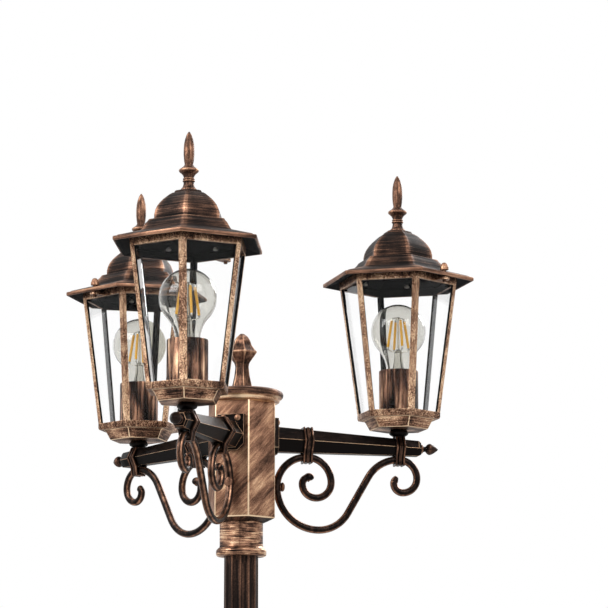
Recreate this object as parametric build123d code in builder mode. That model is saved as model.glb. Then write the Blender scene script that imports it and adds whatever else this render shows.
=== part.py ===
from build123d import *
from math import asin, atan2, cos, degrees, hypot, pi, radians, sin, sqrt
import os

os.makedirs("parts", exist_ok=True)

# Millimetres, +Z up, origin on the ground under the middle of the foot. The front arm points to -Y.

# Fits
seat_play = 0.1            # between pieces that screw or plug into each other
swivel_play = 0.08         # round the stem that a lantern turns on
lift_play = 0.3            # under and round what lifts off or screws out
cos30 = cos(radians(30))   # a hexagon's half width across its flats, as a share of its corner radius

# Foot and fluted base, one casting
casting_wall = 4.0
foot_radius = 112.0
foot_thick = 22.0
foot_bevel = 6.0
flare_radius = 92.0
flare_height = 58.0
band_radius = 78.0
band_height = 10.0
skirt_foot_radius = 73.5
skirt_top_radius = 49.5
skirt_length = 250.0
skirt_flutes = 24
skirt_flute_depth = 1.8
flute_share = 0.76           # a flute's width as a share of its pitch
collar_radius = 53.0
collar_height = 34.0
neck_radius = 41.5
neck_height = 26.0
neck_plate = 5.0
anchor_hole_radius = 4.5
anchor_circle_radius = 101.0
anchor_count = 3

# Turned ring over the base
ring_height = 63.0
ring_radius = 51.0
ring_ridge = 1.8
ring_lip_radius = 36.5
ring_web = 14.0            # the solid top that the pole stands on

# Pole: three fluted tubes, plugged into turned couplings
pipe_bore_radius = 12.5
spigot_radius = 16.0
spigot_length = 24.0
pole_flutes = 12
pole_flute_depth = 1.1
pole_stop = 8.0            # solid length at each end of a pole, which seats on its coupling
pole_lower_length = 462.0
pole_lower_foot_radius = 33.5
pole_lower_radius = 28.8
pole_lower_top_radius = 21.8
pole_middle_length = 526.0
pole_middle_radius = 21.3
pole_middle_top_radius = 20.0
pole_upper_length = 332.0
pole_upper_radius = 18.9
pole_upper_top_radius = 18.2
coupling_lower_height = 71.0
coupling_lower_radius = 28.2
coupling_upper_height = 63.0
coupling_upper_radius = 25.3
coupling_bead = 9.0
barrel_swell = 1.6
locknut_radius = 25.0
locknut_height = 8.0
thread_stand = 4.0         # how far the pole's thread stands below its nut

# Head: socket, hexagonal body, cap and finial
socket_height = 36.3
socket_radius = 23.2
socket_foot_radius = 27.0
socket_foot_height = 9.3
socket_plug_length = 14.0
body_radius = 38.0
body_height = 129.5
body_wall = 5.0
body_floor = 18.0
body_chamfer = 10.5
cap_radius = 45.0
cap_height = 15.5
cap_band_radius = 41.0
cap_band_height = 4.0
cap_plug_depth = 6.0
finial_height = 60.5
finial_foot_radius = 12.0
finial_waist_radius = 7.6
finial_belly_radius = 17.0
finial_plug_radius = 4.0
block_length = 34.0
block_width = 16.0
block_height = 17.0
block_poles = 3

# Arm: x runs out along the arm, and z is measured from the beam's underside
arm_angles = {"front": -90.0, "right": 30.0, "left": 150.0}
arm_reach = 175.0          # post axis to lantern axis
beam_drop = 52.5           # beam's underside below the top of the body
beam_overhang = 24.0       # beam beyond the lantern axis
beam_root_height = 27.4
beam_end_height = 16.4
beam_root_half = 14.5
beam_end_half = 9.0
beam_flat_half = 5.5
beam_end_bevel = 3.0
flange_width = 30.0
flange_height = 38.8
flange_thick = 5.0
flange_drop = 3.0
flange_corner = 7.0
wire_bore_radius = 4.0
wire_bore_rise = 8.8
seat_height = 10.4
seat_radius = 10.8
seat_neck_radius = 6.5
tip_length = 20.0
tip_radius = 6.3
tip_neck_radius = 2.8

# Scroll under the arm, bent from round bar
bar_radius = 4.0
bar_sides = 8
bar_rise = 0.2             # space between the bar and the beam
inner_clip_reach = 72.0
post_space = 2.0           # space between the bar and the body's face
scroll_drop = 82.9         # beam's underside to the lowest point of the bar's middle
rise_run = 45.9              # straight length between the two wide bends
rise_share = 0.487           # share of the two bends that the lower one takes
inner_eye_bends = (27.0, 17.0, 15.0, 7.0)
outer_eye_bends = (20.0, 16.0, 10.0, 5.2)
eye_end_turn = 60.0
eye_ball_radius = 5.0
clip_width = 10.7
clip_wall = 2.4
clip_play = 0.9            # room in a clip for the bar's bend
bolt_radius = 2.0
bolt_head_radius = 5.0
bolt_head_height = 3.6
screw_radius = 2.0
screw_head_radius = 3.5
screw_head_height = 2.4
screw_length = 12.0
screw_spread = 8.0

# Lantern: z is measured from the middle of the roof's outer edge
lantern_turns = {"front": -15.6, "right": 3.5, "left": 32.4}   # as each lantern stands on its stem
eave_radius = 85.0
eave_edge = 4.0
roof_wall = 2.5
brim_rise = 11.6
tier_radius = 53.0
tier_top_radius = 45.0
tier_height = 11.4
dome_radius = 42.0
dome_height = 31.0
roof_cap_radius = 16.0
roof_height = 57.5
cage_depth = 153.0         # roof edge to the underside of the cage
cage_top_radius = 66.5
cage_foot_radius = 46.3
cage_wall = 3.0
cage_rim = 7.0
cage_rim_width = 9.0
cage_top_band = 6.0
pillar_leg = 4.7           # width of each leg of a corner pillar
seat_ledge_radius = 68.5
seat_ledge_rise = 2.5      # the roof's seat on the cage, above the roof's edge
pane_thick = 1.6
tray_depth = 11.0
tray_top_radius = 40.0
tray_step = 2.0
tray_waist_radius = 37.5
tray_foot_radius = 32.5
tray_floor = 3.0
lug_reach = 68.0           # lantern axis to a roof stud
lug_half = 5.5
lug_thick = 2.6
lug_drop = 5.8
stud_radius = 2.0
acorn_radius = 4.6
acorn_height = 8.0
stud_turns = {"front": 180.0, "right": -60.0, "left": 60.0}   # each roof's stud, from its lantern's x
top_finial_height = 62.9
top_finial_radius = 10.5
spike_radius = 5.6

# Lamp holder and lamp
stem_radius = 5.0
stem_bore_radius = 3.5
stem_below = 12.0
stem_nut_radius = 9.5
stem_nut_height = 5.0
sleeve_radius = 21.3
sleeve_wall = 1.2
sleeve_length = 62.0
holder_radius = 19.0
holder_length = 58.0
holder_pocket_radius = 12.0
holder_pocket_depth = 15.0
lamp_length = 105.0
lamp_radius = 30.0
lamp_neck_radius = 12.6
lamp_neck_swell = 1.5
lamp_shoulder = 42.0       # degrees below the ball's middle where the neck leaves it
lamp_wall = 0.9
lamp_cap_radius = 13.0
lamp_cap_length = 27.0
filament_length = 34.0
filament_radius = 1.1
filament_foot_reach = 12.5
filament_top_reach = 7.0
filament_count = 4
lead_radius = 0.6

# Heights that follow
band_base = foot_thick + flare_height
skirt_base = band_base + band_height
collar_base = skirt_base + skirt_length
neck_base = collar_base + collar_height
ring_base = neck_base + neck_height
pole_lower_base = ring_base + ring_height
coupling_lower_base = pole_lower_base + pole_lower_length
pole_middle_base = coupling_lower_base + coupling_lower_height
coupling_upper_base = pole_middle_base + pole_middle_length
pole_upper_base = coupling_upper_base + coupling_upper_height
socket_base = pole_upper_base + pole_upper_length
body_base = socket_base + socket_height
body_top = body_base + body_height
beam_base = body_top - beam_drop
face_reach = body_radius * cos30
beam_root = face_reach + flange_thick
beam_end = arm_reach + beam_overhang
socket_bore = spigot_radius + seat_play


def beam_share(x):
    """How far x lies along the beam's taper, from 0 at its root to 1 at its end."""
    return (x - beam_root) / (beam_end - beam_root)


def beam_height(x):
    return beam_root_height + (beam_end_height - beam_root_height) * beam_share(x)


def beam_half(x):
    return beam_root_half + (beam_end_half - beam_root_half) * beam_share(x)


seat_top = beam_height(arm_reach) + seat_height
tray_foot = beam_base + seat_top + seat_play
eave_height = tray_foot + cage_depth + tray_depth


def hex_stack(plane, stations, mode=Mode.ADD):
    """A hexagonal body through corner radii at rising heights: stations holds (height, radius)."""
    faces = []
    for z, r in stations:
        with BuildSketch(plane.offset(z), mode=Mode.PRIVATE) as section:
            RegularPolygon(r, 6)
        faces.append(section.sketch.face())
    loft(faces, ruled=True, mode=mode)


def turned(plane, outline, bore=0.0, mode=Mode.ADD):
    """A turned body about the plane's z axis. outline holds (radius, height, bulge) from foot to top,
    where bulge is how far the stretch to the next point swells outwards, 0 for a straight one."""
    side = Plane(origin=plane.origin, x_dir=plane.x_dir, z_dir=-plane.y_dir)
    with BuildSketch(side, mode=Mode.PRIVATE) as profile:
        with BuildLine():
            for (r0, z0, bulge), (r1, z1, _) in zip(outline, outline[1:]):
                if bulge:
                    SagittaArc((r0, z0), (r1, z1), -bulge)
                else:
                    Line((r0, z0), (r1, z1))
            foot_r, foot_z, _ = outline[0]
            top_r, top_z, _ = outline[-1]
            if top_r > bore:
                Line((top_r, top_z), (bore, top_z))
            Line((bore, top_z), (bore, foot_z))
            if foot_r > bore:
                Line((bore, foot_z), (foot_r, foot_z))
        make_face()
    revolve(profile.sketch, axis=Axis(plane.origin, plane.z_dir), mode=mode)


def cylinder(plane, radius, depth, mode=Mode.ADD):
    """A round bar or hole that starts on the plane and runs along its z axis."""
    with BuildSketch(plane, mode=Mode.PRIVATE) as disc:
        Circle(radius)
    extrude(disc.sketch, amount=depth, mode=mode)


def fluted(plane, stations, flutes, depth):
    """A tapering column with shallow flutes between narrow lands: stations holds (height, radius)."""
    pitch = 360 / flutes
    faces = []
    for z, r in stations:
        corners = []
        for index in range(flutes):
            for share, reach in ((-flute_share / 2, r), (0, r - depth), (flute_share / 2, r)):
                turn = radians((index + share) * pitch)
                corners.append((reach * cos(turn), reach * sin(turn)))
        with BuildSketch(plane.offset(z), mode=Mode.PRIVATE) as section:
            with BuildLine():
                Polyline(*corners, close=True)
            make_face()
        faces.append(section.sketch.face())
    loft(faces, ruled=True)


# Foot, flare, fluted skirt, collar and neck: one hollow casting with three anchor holes
flare = [(0, flare_radius), (0.12, 88.5), (0.4, 83.0), (0.7, 80.0), (1, band_radius)]
with BuildPart() as base:
    hex_stack(Plane.XY, [(0, foot_radius), (foot_thick - foot_bevel, foot_radius),
                         (foot_thick, foot_radius - foot_bevel)])
    hex_stack(Plane.XY, [(foot_thick + share * flare_height, r) for share, r in flare])
    turned(Plane.XY.offset(band_base),
           [(band_radius - 2, 0, 0), (band_radius + 0.4, band_height / 3, 0),
            (band_radius + 0.4, band_height * 0.6, 0), (band_radius - 3, band_height, 0)])
    fluted(Plane.XY, [(skirt_base, skirt_foot_radius), (collar_base, skirt_top_radius)],
           skirt_flutes, skirt_flute_depth)
    turned(Plane.XY.offset(collar_base),
           [(collar_radius - 5, 0, 0), (collar_radius, 6, 0), (collar_radius, 22, 0),
            (collar_radius - 4, 26, 0), (neck_radius, collar_height, 0)])
    turned(Plane.XY.offset(neck_base), [(neck_radius, 0, 0), (neck_radius + 1.5, neck_height, 0)])
    bore_foot = skirt_foot_radius - skirt_flute_depth - casting_wall
    bore_top = skirt_top_radius - skirt_flute_depth - casting_wall
    turned(Plane.XY, [(bore_foot, 0, 0), (bore_foot, skirt_base, 0), (bore_top, collar_base, 0),
                      (neck_radius - casting_wall, neck_base, 0),
                      (neck_radius - casting_wall, ring_base - neck_plate, 0)], mode=Mode.SUBTRACT)
    cylinder(Plane.XY.offset(ring_base - 2 * neck_plate), socket_bore, 3 * neck_plate, Mode.SUBTRACT)
    with BuildSketch(Plane.XY):
        with PolarLocations(anchor_circle_radius, anchor_count):
            Circle(anchor_hole_radius)
    extrude(amount=foot_thick, mode=Mode.SUBTRACT)
base.part.label = "base"
export_step(base.part, "parts/base.step")

# Turned ring that the pole clamps on the base
with BuildPart() as base_ring:
    turned(Plane.XY.offset(ring_base),
           [(neck_radius - 1, 0, 0), (neck_radius + 1, 3, 0), (ring_radius - 1.5, 13, 0),
            (ring_radius, 22, 0), (ring_radius + ring_ridge, 25.5, 0), (ring_radius, 29, 0),
            (ring_radius - 3, 37, 0), (ring_lip_radius, 52, 0),
            (ring_lip_radius, ring_height - 2, 0), (ring_lip_radius - 1, ring_height, 0)],
           bore=socket_bore)
    turned(Plane.XY.offset(ring_base),
           [(neck_radius - 1 - casting_wall, 0, 0), (neck_radius - 1 - casting_wall, 30, 0),
            (ring_lip_radius - 2 * casting_wall, ring_height - ring_web, 0)], mode=Mode.SUBTRACT)
base_ring.part.label = "base_ring"
export_step(base_ring.part, "parts/base_ring.step")


def hollow_pole(base_height, length, top_r):
    """Clear the inside of a pole to its wall at the top, but for a stop at each end."""
    cylinder(Plane.XY.offset(base_height + pole_stop), top_r - pole_flute_depth - casting_wall,
             length - 2 * pole_stop, Mode.SUBTRACT)


# Lower pole: its long thread passes through the ring and the neck plate to a nut inside the base
clamp_length = ring_height + neck_plate + locknut_height + thread_stand
with BuildPart() as pole_lower:
    fluted(Plane.XY.offset(pole_lower_base),
           [(0, pole_lower_foot_radius), (12, 31.2), (34, 29.8), (98, pole_lower_radius),
            (240, 26.0), (pole_lower_length, pole_lower_top_radius)],
           pole_flutes, pole_flute_depth)
    cylinder(Plane.XY.offset(pole_lower_base - clamp_length), spigot_radius, clamp_length)
    cylinder(Plane.XY.offset(coupling_lower_base), spigot_radius, spigot_length)
    cylinder(Plane.XY.offset(pole_lower_base - clamp_length), pipe_bore_radius,
             clamp_length + pole_lower_length + spigot_length, Mode.SUBTRACT)
    hollow_pole(pole_lower_base, pole_lower_length, pole_lower_top_radius)
pole_lower.part.label = "pole_lower"
export_step(pole_lower.part, "parts/pole_lower.step")

with BuildPart() as pole_locknut:
    with BuildSketch(Plane.XY.offset(ring_base - neck_plate)):
        RegularPolygon(locknut_radius, 6)
        Circle(socket_bore, mode=Mode.SUBTRACT)
    extrude(amount=-locknut_height)
pole_locknut.part.label = "pole_locknut"
export_step(pole_locknut.part, "parts/pole_locknut.step")


def straight_pole(base_height, length, foot_r, top_r):
    """A fluted tube with a plain spigot at each end."""
    fluted(Plane.XY.offset(base_height), [(0, foot_r), (length, top_r)], pole_flutes, pole_flute_depth)
    cylinder(Plane.XY.offset(base_height - spigot_length), spigot_radius, length + 2 * spigot_length)
    cylinder(Plane.XY.offset(base_height - spigot_length), pipe_bore_radius,
             length + 2 * spigot_length, Mode.SUBTRACT)
    hollow_pole(base_height, length, top_r)


with BuildPart() as pole_middle:
    straight_pole(pole_middle_base, pole_middle_length, pole_middle_radius, pole_middle_top_radius)
pole_middle.part.label = "pole_middle"
export_step(pole_middle.part, "parts/pole_middle.step")

with BuildPart() as pole_upper:
    straight_pole(pole_upper_base, pole_upper_length, pole_upper_radius, pole_upper_top_radius)
pole_upper.part.label = "pole_upper"
export_step(pole_upper.part, "parts/pole_upper.step")


def coupling(base_height, height, radius, barrel_foot, barrel_top):
    """A turned coupling: a bead at each end, a swelling barrel between them, and a socket through it."""
    turned(Plane.XY.offset(base_height),
           [(radius - 3, 0, 0), (radius, 3, 0), (radius, coupling_bead - 3, 0),
            (barrel_foot, coupling_bead + 2, 0),
            ((barrel_foot + barrel_top) / 2 + barrel_swell, height / 2, 0),
            (barrel_top, height - coupling_bead - 2, 0), (radius - 1, height - coupling_bead + 3, 0),
            (radius - 1, height - 3, 0), (radius - 4, height, 0)], bore=socket_bore)


with BuildPart() as coupling_lower:
    coupling(coupling_lower_base, coupling_lower_height, coupling_lower_radius,
             pole_lower_top_radius + 0.8, pole_middle_radius + 0.8)
coupling_lower.part.label = "coupling_lower"
export_step(coupling_lower.part, "parts/coupling_lower.step")

with BuildPart() as coupling_upper:
    coupling(coupling_upper_base, coupling_upper_height, coupling_upper_radius,
             pole_middle_top_radius + 0.8, pole_upper_radius + 0.8)
coupling_upper.part.label = "coupling_upper"
export_step(coupling_upper.part, "parts/coupling_upper.step")

# Turned socket between the pole and the hexagonal body
with BuildPart() as head_collar:
    turned(Plane.XY.offset(socket_base),
           [(socket_foot_radius - 1.5, 0, 0), (socket_foot_radius, 1.5, 0),
            (socket_foot_radius, socket_foot_height - 3, 0), (socket_radius, socket_foot_height, 0),
            (socket_radius, socket_height, 0)], bore=pipe_bore_radius)
    cylinder(Plane.XY.offset(body_base), spigot_radius, socket_plug_length)
    cylinder(Plane.XY.offset(socket_base), socket_bore, spigot_length + seat_play, Mode.SUBTRACT)
    cylinder(Plane.XY.offset(socket_base), pipe_bore_radius,
             socket_height + socket_plug_length, Mode.SUBTRACT)
head_collar.part.label = "head_collar"
export_step(head_collar.part, "parts/head_collar.step")


def arm_section(angle, x):
    """Plane square across an arm at distance x from the post axis: its y axis is up."""
    a = radians(angle)
    return Plane(origin=(x * cos(a), x * sin(a), beam_base), x_dir=(-sin(a), cos(a), 0),
                 z_dir=(cos(a), sin(a), 0))


def arm_side(angle):
    """Upright plane along an arm through the post axis: x runs out along the arm and y is up."""
    a = radians(angle)
    return Plane(origin=(0, 0, beam_base), x_dir=(cos(a), sin(a), 0), z_dir=(sin(a), -cos(a), 0))


def stem_axis(angle):
    """Level plane on a lantern's axis, at the beam's underside."""
    a = radians(angle)
    return Plane(origin=(arm_reach * cos(a), arm_reach * sin(a), beam_base), z_dir=(0, 0, 1))


def drill(plane, places, radius, depth):
    """Holes at the places given in the plane, along its z axis."""
    with BuildSketch(plane, mode=Mode.PRIVATE) as holes:
        with Locations(*places):
            Circle(radius)
    extrude(holes.sketch, amount=depth, mode=Mode.SUBTRACT)


# Where the fasteners sit on a face of the body, measured up from the beam's underside
screw_rise = (beam_root_height + flange_height - flange_drop) / 2
screw_places = [(-screw_spread, screw_rise), (screw_spread, screw_rise)]
bar_line = bar_rise + bar_radius                    # beam's underside to the middle of the bar
root_bend = inner_clip_reach - face_reach - post_space - bar_radius
bolt_drop = bar_line + root_bend

# Hexagonal body: hollow, open on top for the wires, with an arm on every second face
bevel_rise = 4.0
with BuildPart() as head_body:
    hex_stack(Plane.XY.offset(body_base), [(0, body_radius - body_chamfer), (bevel_rise, body_radius),
                                           (body_height, body_radius)])
    hex_stack(Plane.XY.offset(body_base), [(body_floor, body_radius - body_wall / cos30),
                                           (body_height, body_radius - body_wall / cos30)],
              Mode.SUBTRACT)
    cylinder(Plane.XY.offset(body_base), socket_bore, body_floor, Mode.SUBTRACT)
    for angle in arm_angles.values():
        inside = arm_section(angle, face_reach - 2 * body_wall)
        drill(inside, [(0, wire_bore_rise)], wire_bore_radius, 3 * body_wall)
        drill(inside, screw_places, screw_radius + seat_play, 3 * body_wall)
        drill(inside, [(0, -bolt_drop)], bolt_radius + seat_play, 3 * body_wall)
head_body.part.label = "head_body"
export_step(head_body.part, "parts/head_body.step")

# Cap with a bright lower band and a rounded rim, plugged into the body
with BuildPart() as head_cap:
    hex_stack(Plane.XY.offset(body_top - cap_plug_depth),
              [(0, body_radius - body_wall / cos30 - 2 * seat_play),
               (cap_plug_depth, body_radius - body_wall / cos30 - 2 * seat_play)])
    turned(Plane.XY.offset(body_top),
           [(cap_band_radius - 1.5, 0, 0), (cap_band_radius, 1.5, 0), (cap_band_radius, cap_band_height, 0),
            (cap_radius - 1.5, cap_band_height + 0.5, 2.2), (cap_radius - 2, cap_height - 3.5, 0),
            (cap_radius - 6, cap_height - 2, 0), (finial_foot_radius + 2, cap_height, 0)])
    cylinder(Plane.XY.offset(body_top - cap_plug_depth), finial_plug_radius + seat_play,
             cap_height + cap_plug_depth, Mode.SUBTRACT)
head_cap.part.label = "head_cap"
export_step(head_cap.part, "parts/head_cap.step")

with BuildPart() as head_finial:
    hex_stack(Plane.XY.offset(body_top + cap_height),
              [(0, finial_foot_radius), (3, finial_foot_radius - 0.6), (14, finial_waist_radius + 1.2),
               (24, finial_waist_radius), (31, finial_waist_radius + 3),
               (39.5, finial_belly_radius), (42, finial_belly_radius - 1.2), (48, 10.8), (53, 9.2),
               (57.5, 6.2), (finial_height, 2.2)])
    cylinder(Plane.XY.offset(body_top + cap_height), finial_plug_radius, -(cap_height - 1))
head_finial.part.label = "head_finial"
export_step(head_finial.part, "parts/head_finial.step")

# Terminal block on the body's floor, one pair of screw holes a pole
with BuildPart() as terminal_block:
    with BuildSketch(Plane.XY.offset(body_base + body_floor)):
        Rectangle(block_length, block_width)
    extrude(amount=block_height)
    with BuildSketch(Plane.XY.offset(body_base + body_floor + block_height)):
        with GridLocations(block_length / block_poles, block_width / 2, block_poles, 2):
            Circle(2.2)
    extrude(amount=-block_height / 2, mode=Mode.SUBTRACT)
terminal_block.part.label = "terminal_block"
export_step(terminal_block.part, "parts/terminal_block.step")


def beam_outline(x, grow=0.0):
    """The beam's six-sided section at x: pointed sides and narrow flats, grown by a wall outside it."""
    high, half = beam_height(x), beam_half(x)
    Polyline((half + grow * 1.1, high / 2), (beam_flat_half + grow / 2, high + grow),
             (-beam_flat_half - grow / 2, high + grow), (-half - grow * 1.1, high / 2),
             (-beam_flat_half - grow / 2, -grow), (beam_flat_half + grow / 2, -grow), close=True)


def make_beam(angle):
    """A tapering cast beam with its flange, the seat for the lantern and the bores for the wires."""
    with BuildSketch(arm_section(angle, face_reach)) as plate:
        with BuildLine():
            low, high = -flange_drop, flange_height - flange_drop
            half = flange_width / 2
            Polyline((half, high), (-half, high), (-half, low + flange_corner),
                     (-half + flange_corner, low), (half - flange_corner, low),
                     (half, low + flange_corner), close=True)
        make_face()
    extrude(plate.sketch, amount=flange_thick)
    faces = []
    for x, shrink in ((beam_root, 0), (beam_end - beam_end_bevel, 0), (beam_end, -beam_end_bevel / 2)):
        with BuildSketch(arm_section(angle, x), mode=Mode.PRIVATE) as section:
            with BuildLine():
                beam_outline(x, shrink)
            make_face()
        faces.append(section.sketch.face())
    loft(faces, ruled=True)
    stem = stem_axis(angle)
    top = beam_height(arm_reach)
    turned(stem.offset(top), [(seat_neck_radius, -clip_width / 4, 0),
                              (seat_neck_radius, clip_wall + 0.6, 0),
                              (seat_radius - 0.8, 5.2, 0), (seat_radius, 7.2, 0),
                              (seat_radius - 2, seat_height, 0)])
    drill(stem.offset(wire_bore_rise), [(0, 0)], stem_radius + seat_play, seat_top)
    drill(arm_section(angle, face_reach), [(0, wire_bore_rise)], wire_bore_radius,
          arm_reach - face_reach)
    drill(arm_section(angle, face_reach), screw_places, screw_radius + seat_play, flange_thick)


def make_scroll(angle):
    """Eight-sided bar bent in one upright plane. It leaves the inner clip towards the post, turns down it and
    out, runs straight up to the outer clip, and curls in at both ends."""
    side = arm_side(angle)
    start_z = -bar_line
    belly_bend = scroll_drop - bolt_drop
    with BuildLine(side) as inner:
        bend = JernArc((inner_clip_reach, start_z), (1, 0), inner_eye_bends[0], -90)
        for radius in inner_eye_bends[1:]:
            bend = JernArc(bend @ 1, bend % 1, radius, -90)
        inner_end = JernArc(bend @ 1, bend % 1, eye_ball_radius, -eye_end_turn)
    low = (inner_clip_reach - root_bend + belly_bend, -scroll_drop)
    rise_x, rise_z = arm_reach - low[0], scroll_drop - bar_line
    both_bends = (rise_x**2 + rise_z**2 - rise_run**2) / (2 * rise_z)
    rise_bend, crown_bend = rise_share * both_bends, (1 - rise_share) * both_bends
    climb = degrees(atan2(rise_z - both_bends, rise_x) + atan2(both_bends, rise_run))
    with BuildLine(side) as outer:
        bend = JernArc((inner_clip_reach, start_z), (-1, 0), root_bend, 90)
        bend = JernArc(bend @ 1, bend % 1, belly_bend, 90)
        bend = JernArc(bend @ 1, bend % 1, rise_bend, climb)
        run = Line(bend @ 1, bend @ 1 + (bend % 1) * rise_run)
        bend = JernArc(run @ 1, run % 1, crown_bend, -climb)
        for radius in outer_eye_bends:
            bend = JernArc(bend @ 1, bend % 1, radius, -90)
    for line in (inner, outer):
        path = line.wires()[0]
        with BuildSketch(Plane(origin=path @ 0, z_dir=path % 0)) as section:
            RegularPolygon(bar_radius, bar_sides)
        sweep(section.sketch, path=path)
    with Locations(inner_end @ 1):
        Sphere(eye_ball_radius)
    drill(arm_section(angle, face_reach), [(0, -bolt_drop)], bolt_radius + seat_play,
          post_space + 3 * bar_radius)


def make_clip(angle, x):
    """A band round the beam whose legs come together below it and hold the bar."""
    back = x - clip_width / 2
    with BuildSketch(arm_section(angle, back)) as band:
        with BuildLine():
            beam_outline(back, clip_wall)
        make_face()
        with BuildLine():
            half = bar_radius + clip_play / 2 + clip_wall
            foot = -bar_line - bar_radius - clip_play - clip_wall / 1.5
            Polyline((half, 0), (half, foot + 1), (half - 1, foot), (-half + 1, foot),
                     (-half, foot + 1), (-half, 0), close=True)
        make_face()
        with BuildLine():
            beam_outline(back, seat_play)
        make_face(mode=Mode.SUBTRACT)
        with Locations((0, -bar_line)):
            Rectangle(2 * (bar_radius + clip_play / 2), 2 * (bar_radius + clip_play), mode=Mode.SUBTRACT)
    extrude(band.sketch, amount=clip_width)
    drill(stem_axis(angle).offset(beam_height(x) / 2), [(0, 0)], seat_neck_radius + seat_play,
          beam_height(x))


for name, angle in arm_angles.items():
    with BuildPart() as beam:
        make_beam(angle)
    beam.part.label = "beam_" + name
    export_step(beam.part, "parts/beam_" + name + ".step")

    with BuildPart() as scroll:
        make_scroll(angle)
    scroll.part.label = "scroll_" + name
    export_step(scroll.part, "parts/scroll_" + name + ".step")

    with BuildPart() as tip:
        mount = arm_section(angle, beam_end)
        middle = Plane(origin=mount.origin + (0, 0, beam_end_height / 2), x_dir=mount.x_dir,
                       z_dir=mount.z_dir)
        turned(middle, [(tip_radius - 1.5, 0, 0), (tip_radius - 1.2, 2, 0), (tip_neck_radius, 4, 0),
                        (tip_neck_radius, 6, 0), (tip_radius, 9.5, 0), (tip_radius - 2, 14, 0),
                        (0, tip_length, 0)])
    tip.part.label = "arm_tip_" + name
    export_step(tip.part, "parts/arm_tip_" + name + ".step")

with BuildPart() as scroll_clips:
    for angle in arm_angles.values():
        make_clip(angle, inner_clip_reach)
        make_clip(angle, arm_reach)
scroll_clips.part.label = "scroll_clips"
export_step(scroll_clips.part, "parts/scroll_clips.step")

with BuildPart() as arm_screws:
    for angle in arm_angles.values():
        for place in screw_places:
            head = arm_section(angle, beam_root)
            spot = Plane(origin=head.from_local_coords((*place, 0)), x_dir=head.x_dir, z_dir=head.z_dir)
            hex_stack(spot, [(0, screw_head_radius), (screw_head_height / 2, screw_head_radius),
                             (screw_head_height, screw_head_radius / 2)])
            cylinder(spot, screw_radius, -screw_length)
arm_screws.part.label = "arm_screws"
export_step(arm_screws.part, "parts/arm_screws.step")

# A bolt holds each scroll to the body, with a collar between them
bend_room = bolt_head_radius**2 / (2 * root_bend) + seat_play
with BuildPart() as scroll_bolts:
    for angle in arm_angles.values():
        face = arm_section(angle, face_reach)
        spot = Plane(origin=face.from_local_coords((0, -bolt_drop, 0)), x_dir=face.x_dir,
                     z_dir=face.z_dir)
        cylinder(spot.offset(-2 * body_wall), bolt_radius,
                 2 * body_wall + post_space + 2 * bar_radius + bend_room)
        cylinder(spot, 2 * bolt_radius, post_space - seat_play)
        hex_stack(spot.offset(post_space + 2 * bar_radius + bend_room),
                  [(0, bolt_head_radius), (bolt_head_height / 2, bolt_head_radius),
                   (bolt_head_height, bolt_head_radius / 2)])
scroll_bolts.part.label = "scroll_bolts"
export_step(scroll_bolts.part, "parts/scroll_bolts.step")


def stem_plane(name):
    """Lantern axis at the height of the roof's edge, turned so that x points to one pane."""
    a = radians(arm_angles[name])
    turn = a + radians(lantern_turns[name])
    return Plane(origin=(arm_reach * cos(a), arm_reach * sin(a), eave_height),
                 x_dir=(cos(turn), sin(turn), 0), z_dir=(0, 0, 1))


def corner_plane(plane):
    """The same axis, turned so that x points to a corner of the lantern."""
    return plane.rotated((0, 0, 30))


def outward(plane, turn):
    """Direction square to the axis, turned from the plane's x."""
    a = radians(turn)
    return plane.x_dir * cos(a) + plane.y_dir * sin(a)


def facing_plane(plane, turn, lean=0.0):
    """Plane through the axis with z outwards at a turn, tipped forward by a lean, and y up."""
    out, up, a = outward(plane, turn), plane.z_dir, radians(lean)
    return Plane(origin=plane.origin, x_dir=outward(plane, turn + 90), z_dir=out * cos(a) - up * sin(a))


def radial_plane(plane, turn):
    """Upright plane along the axis with x outwards at a turn and y up."""
    return Plane(origin=plane.origin, x_dir=outward(plane, turn), z_dir=-outward(plane, turn + 90))


with BuildPart() as lantern_nipples:
    for name in arm_angles:
        axis = stem_plane(name)
        floor = axis.offset(-cage_depth - tray_depth + tray_floor)
        foot = axis.offset(-cage_depth - tray_depth - seat_play - stem_below)
        stem_length = stem_below + seat_play + tray_floor + stem_nut_height + 3
        cylinder(foot, stem_radius, stem_length)
        hex_stack(floor.offset(seat_play), [(0, stem_nut_radius), (stem_nut_height, stem_nut_radius)])
        cylinder(foot, stem_bore_radius, stem_length, Mode.SUBTRACT)
lantern_nipples.part.label = "lantern_nipples"
export_step(lantern_nipples.part, "parts/lantern_nipples.step")

# Slope of the cage's sides
cage_foot = -cage_depth + cage_rim
cage_top = seat_ledge_rise - lift_play
cage_slope = (cage_top_radius - cage_foot_radius) / (cage_top - cage_foot)


def cage_radius(z):
    """Corner radius of the cage's outside at height z."""
    return cage_foot_radius + cage_slope * (z - cage_foot)


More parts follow.
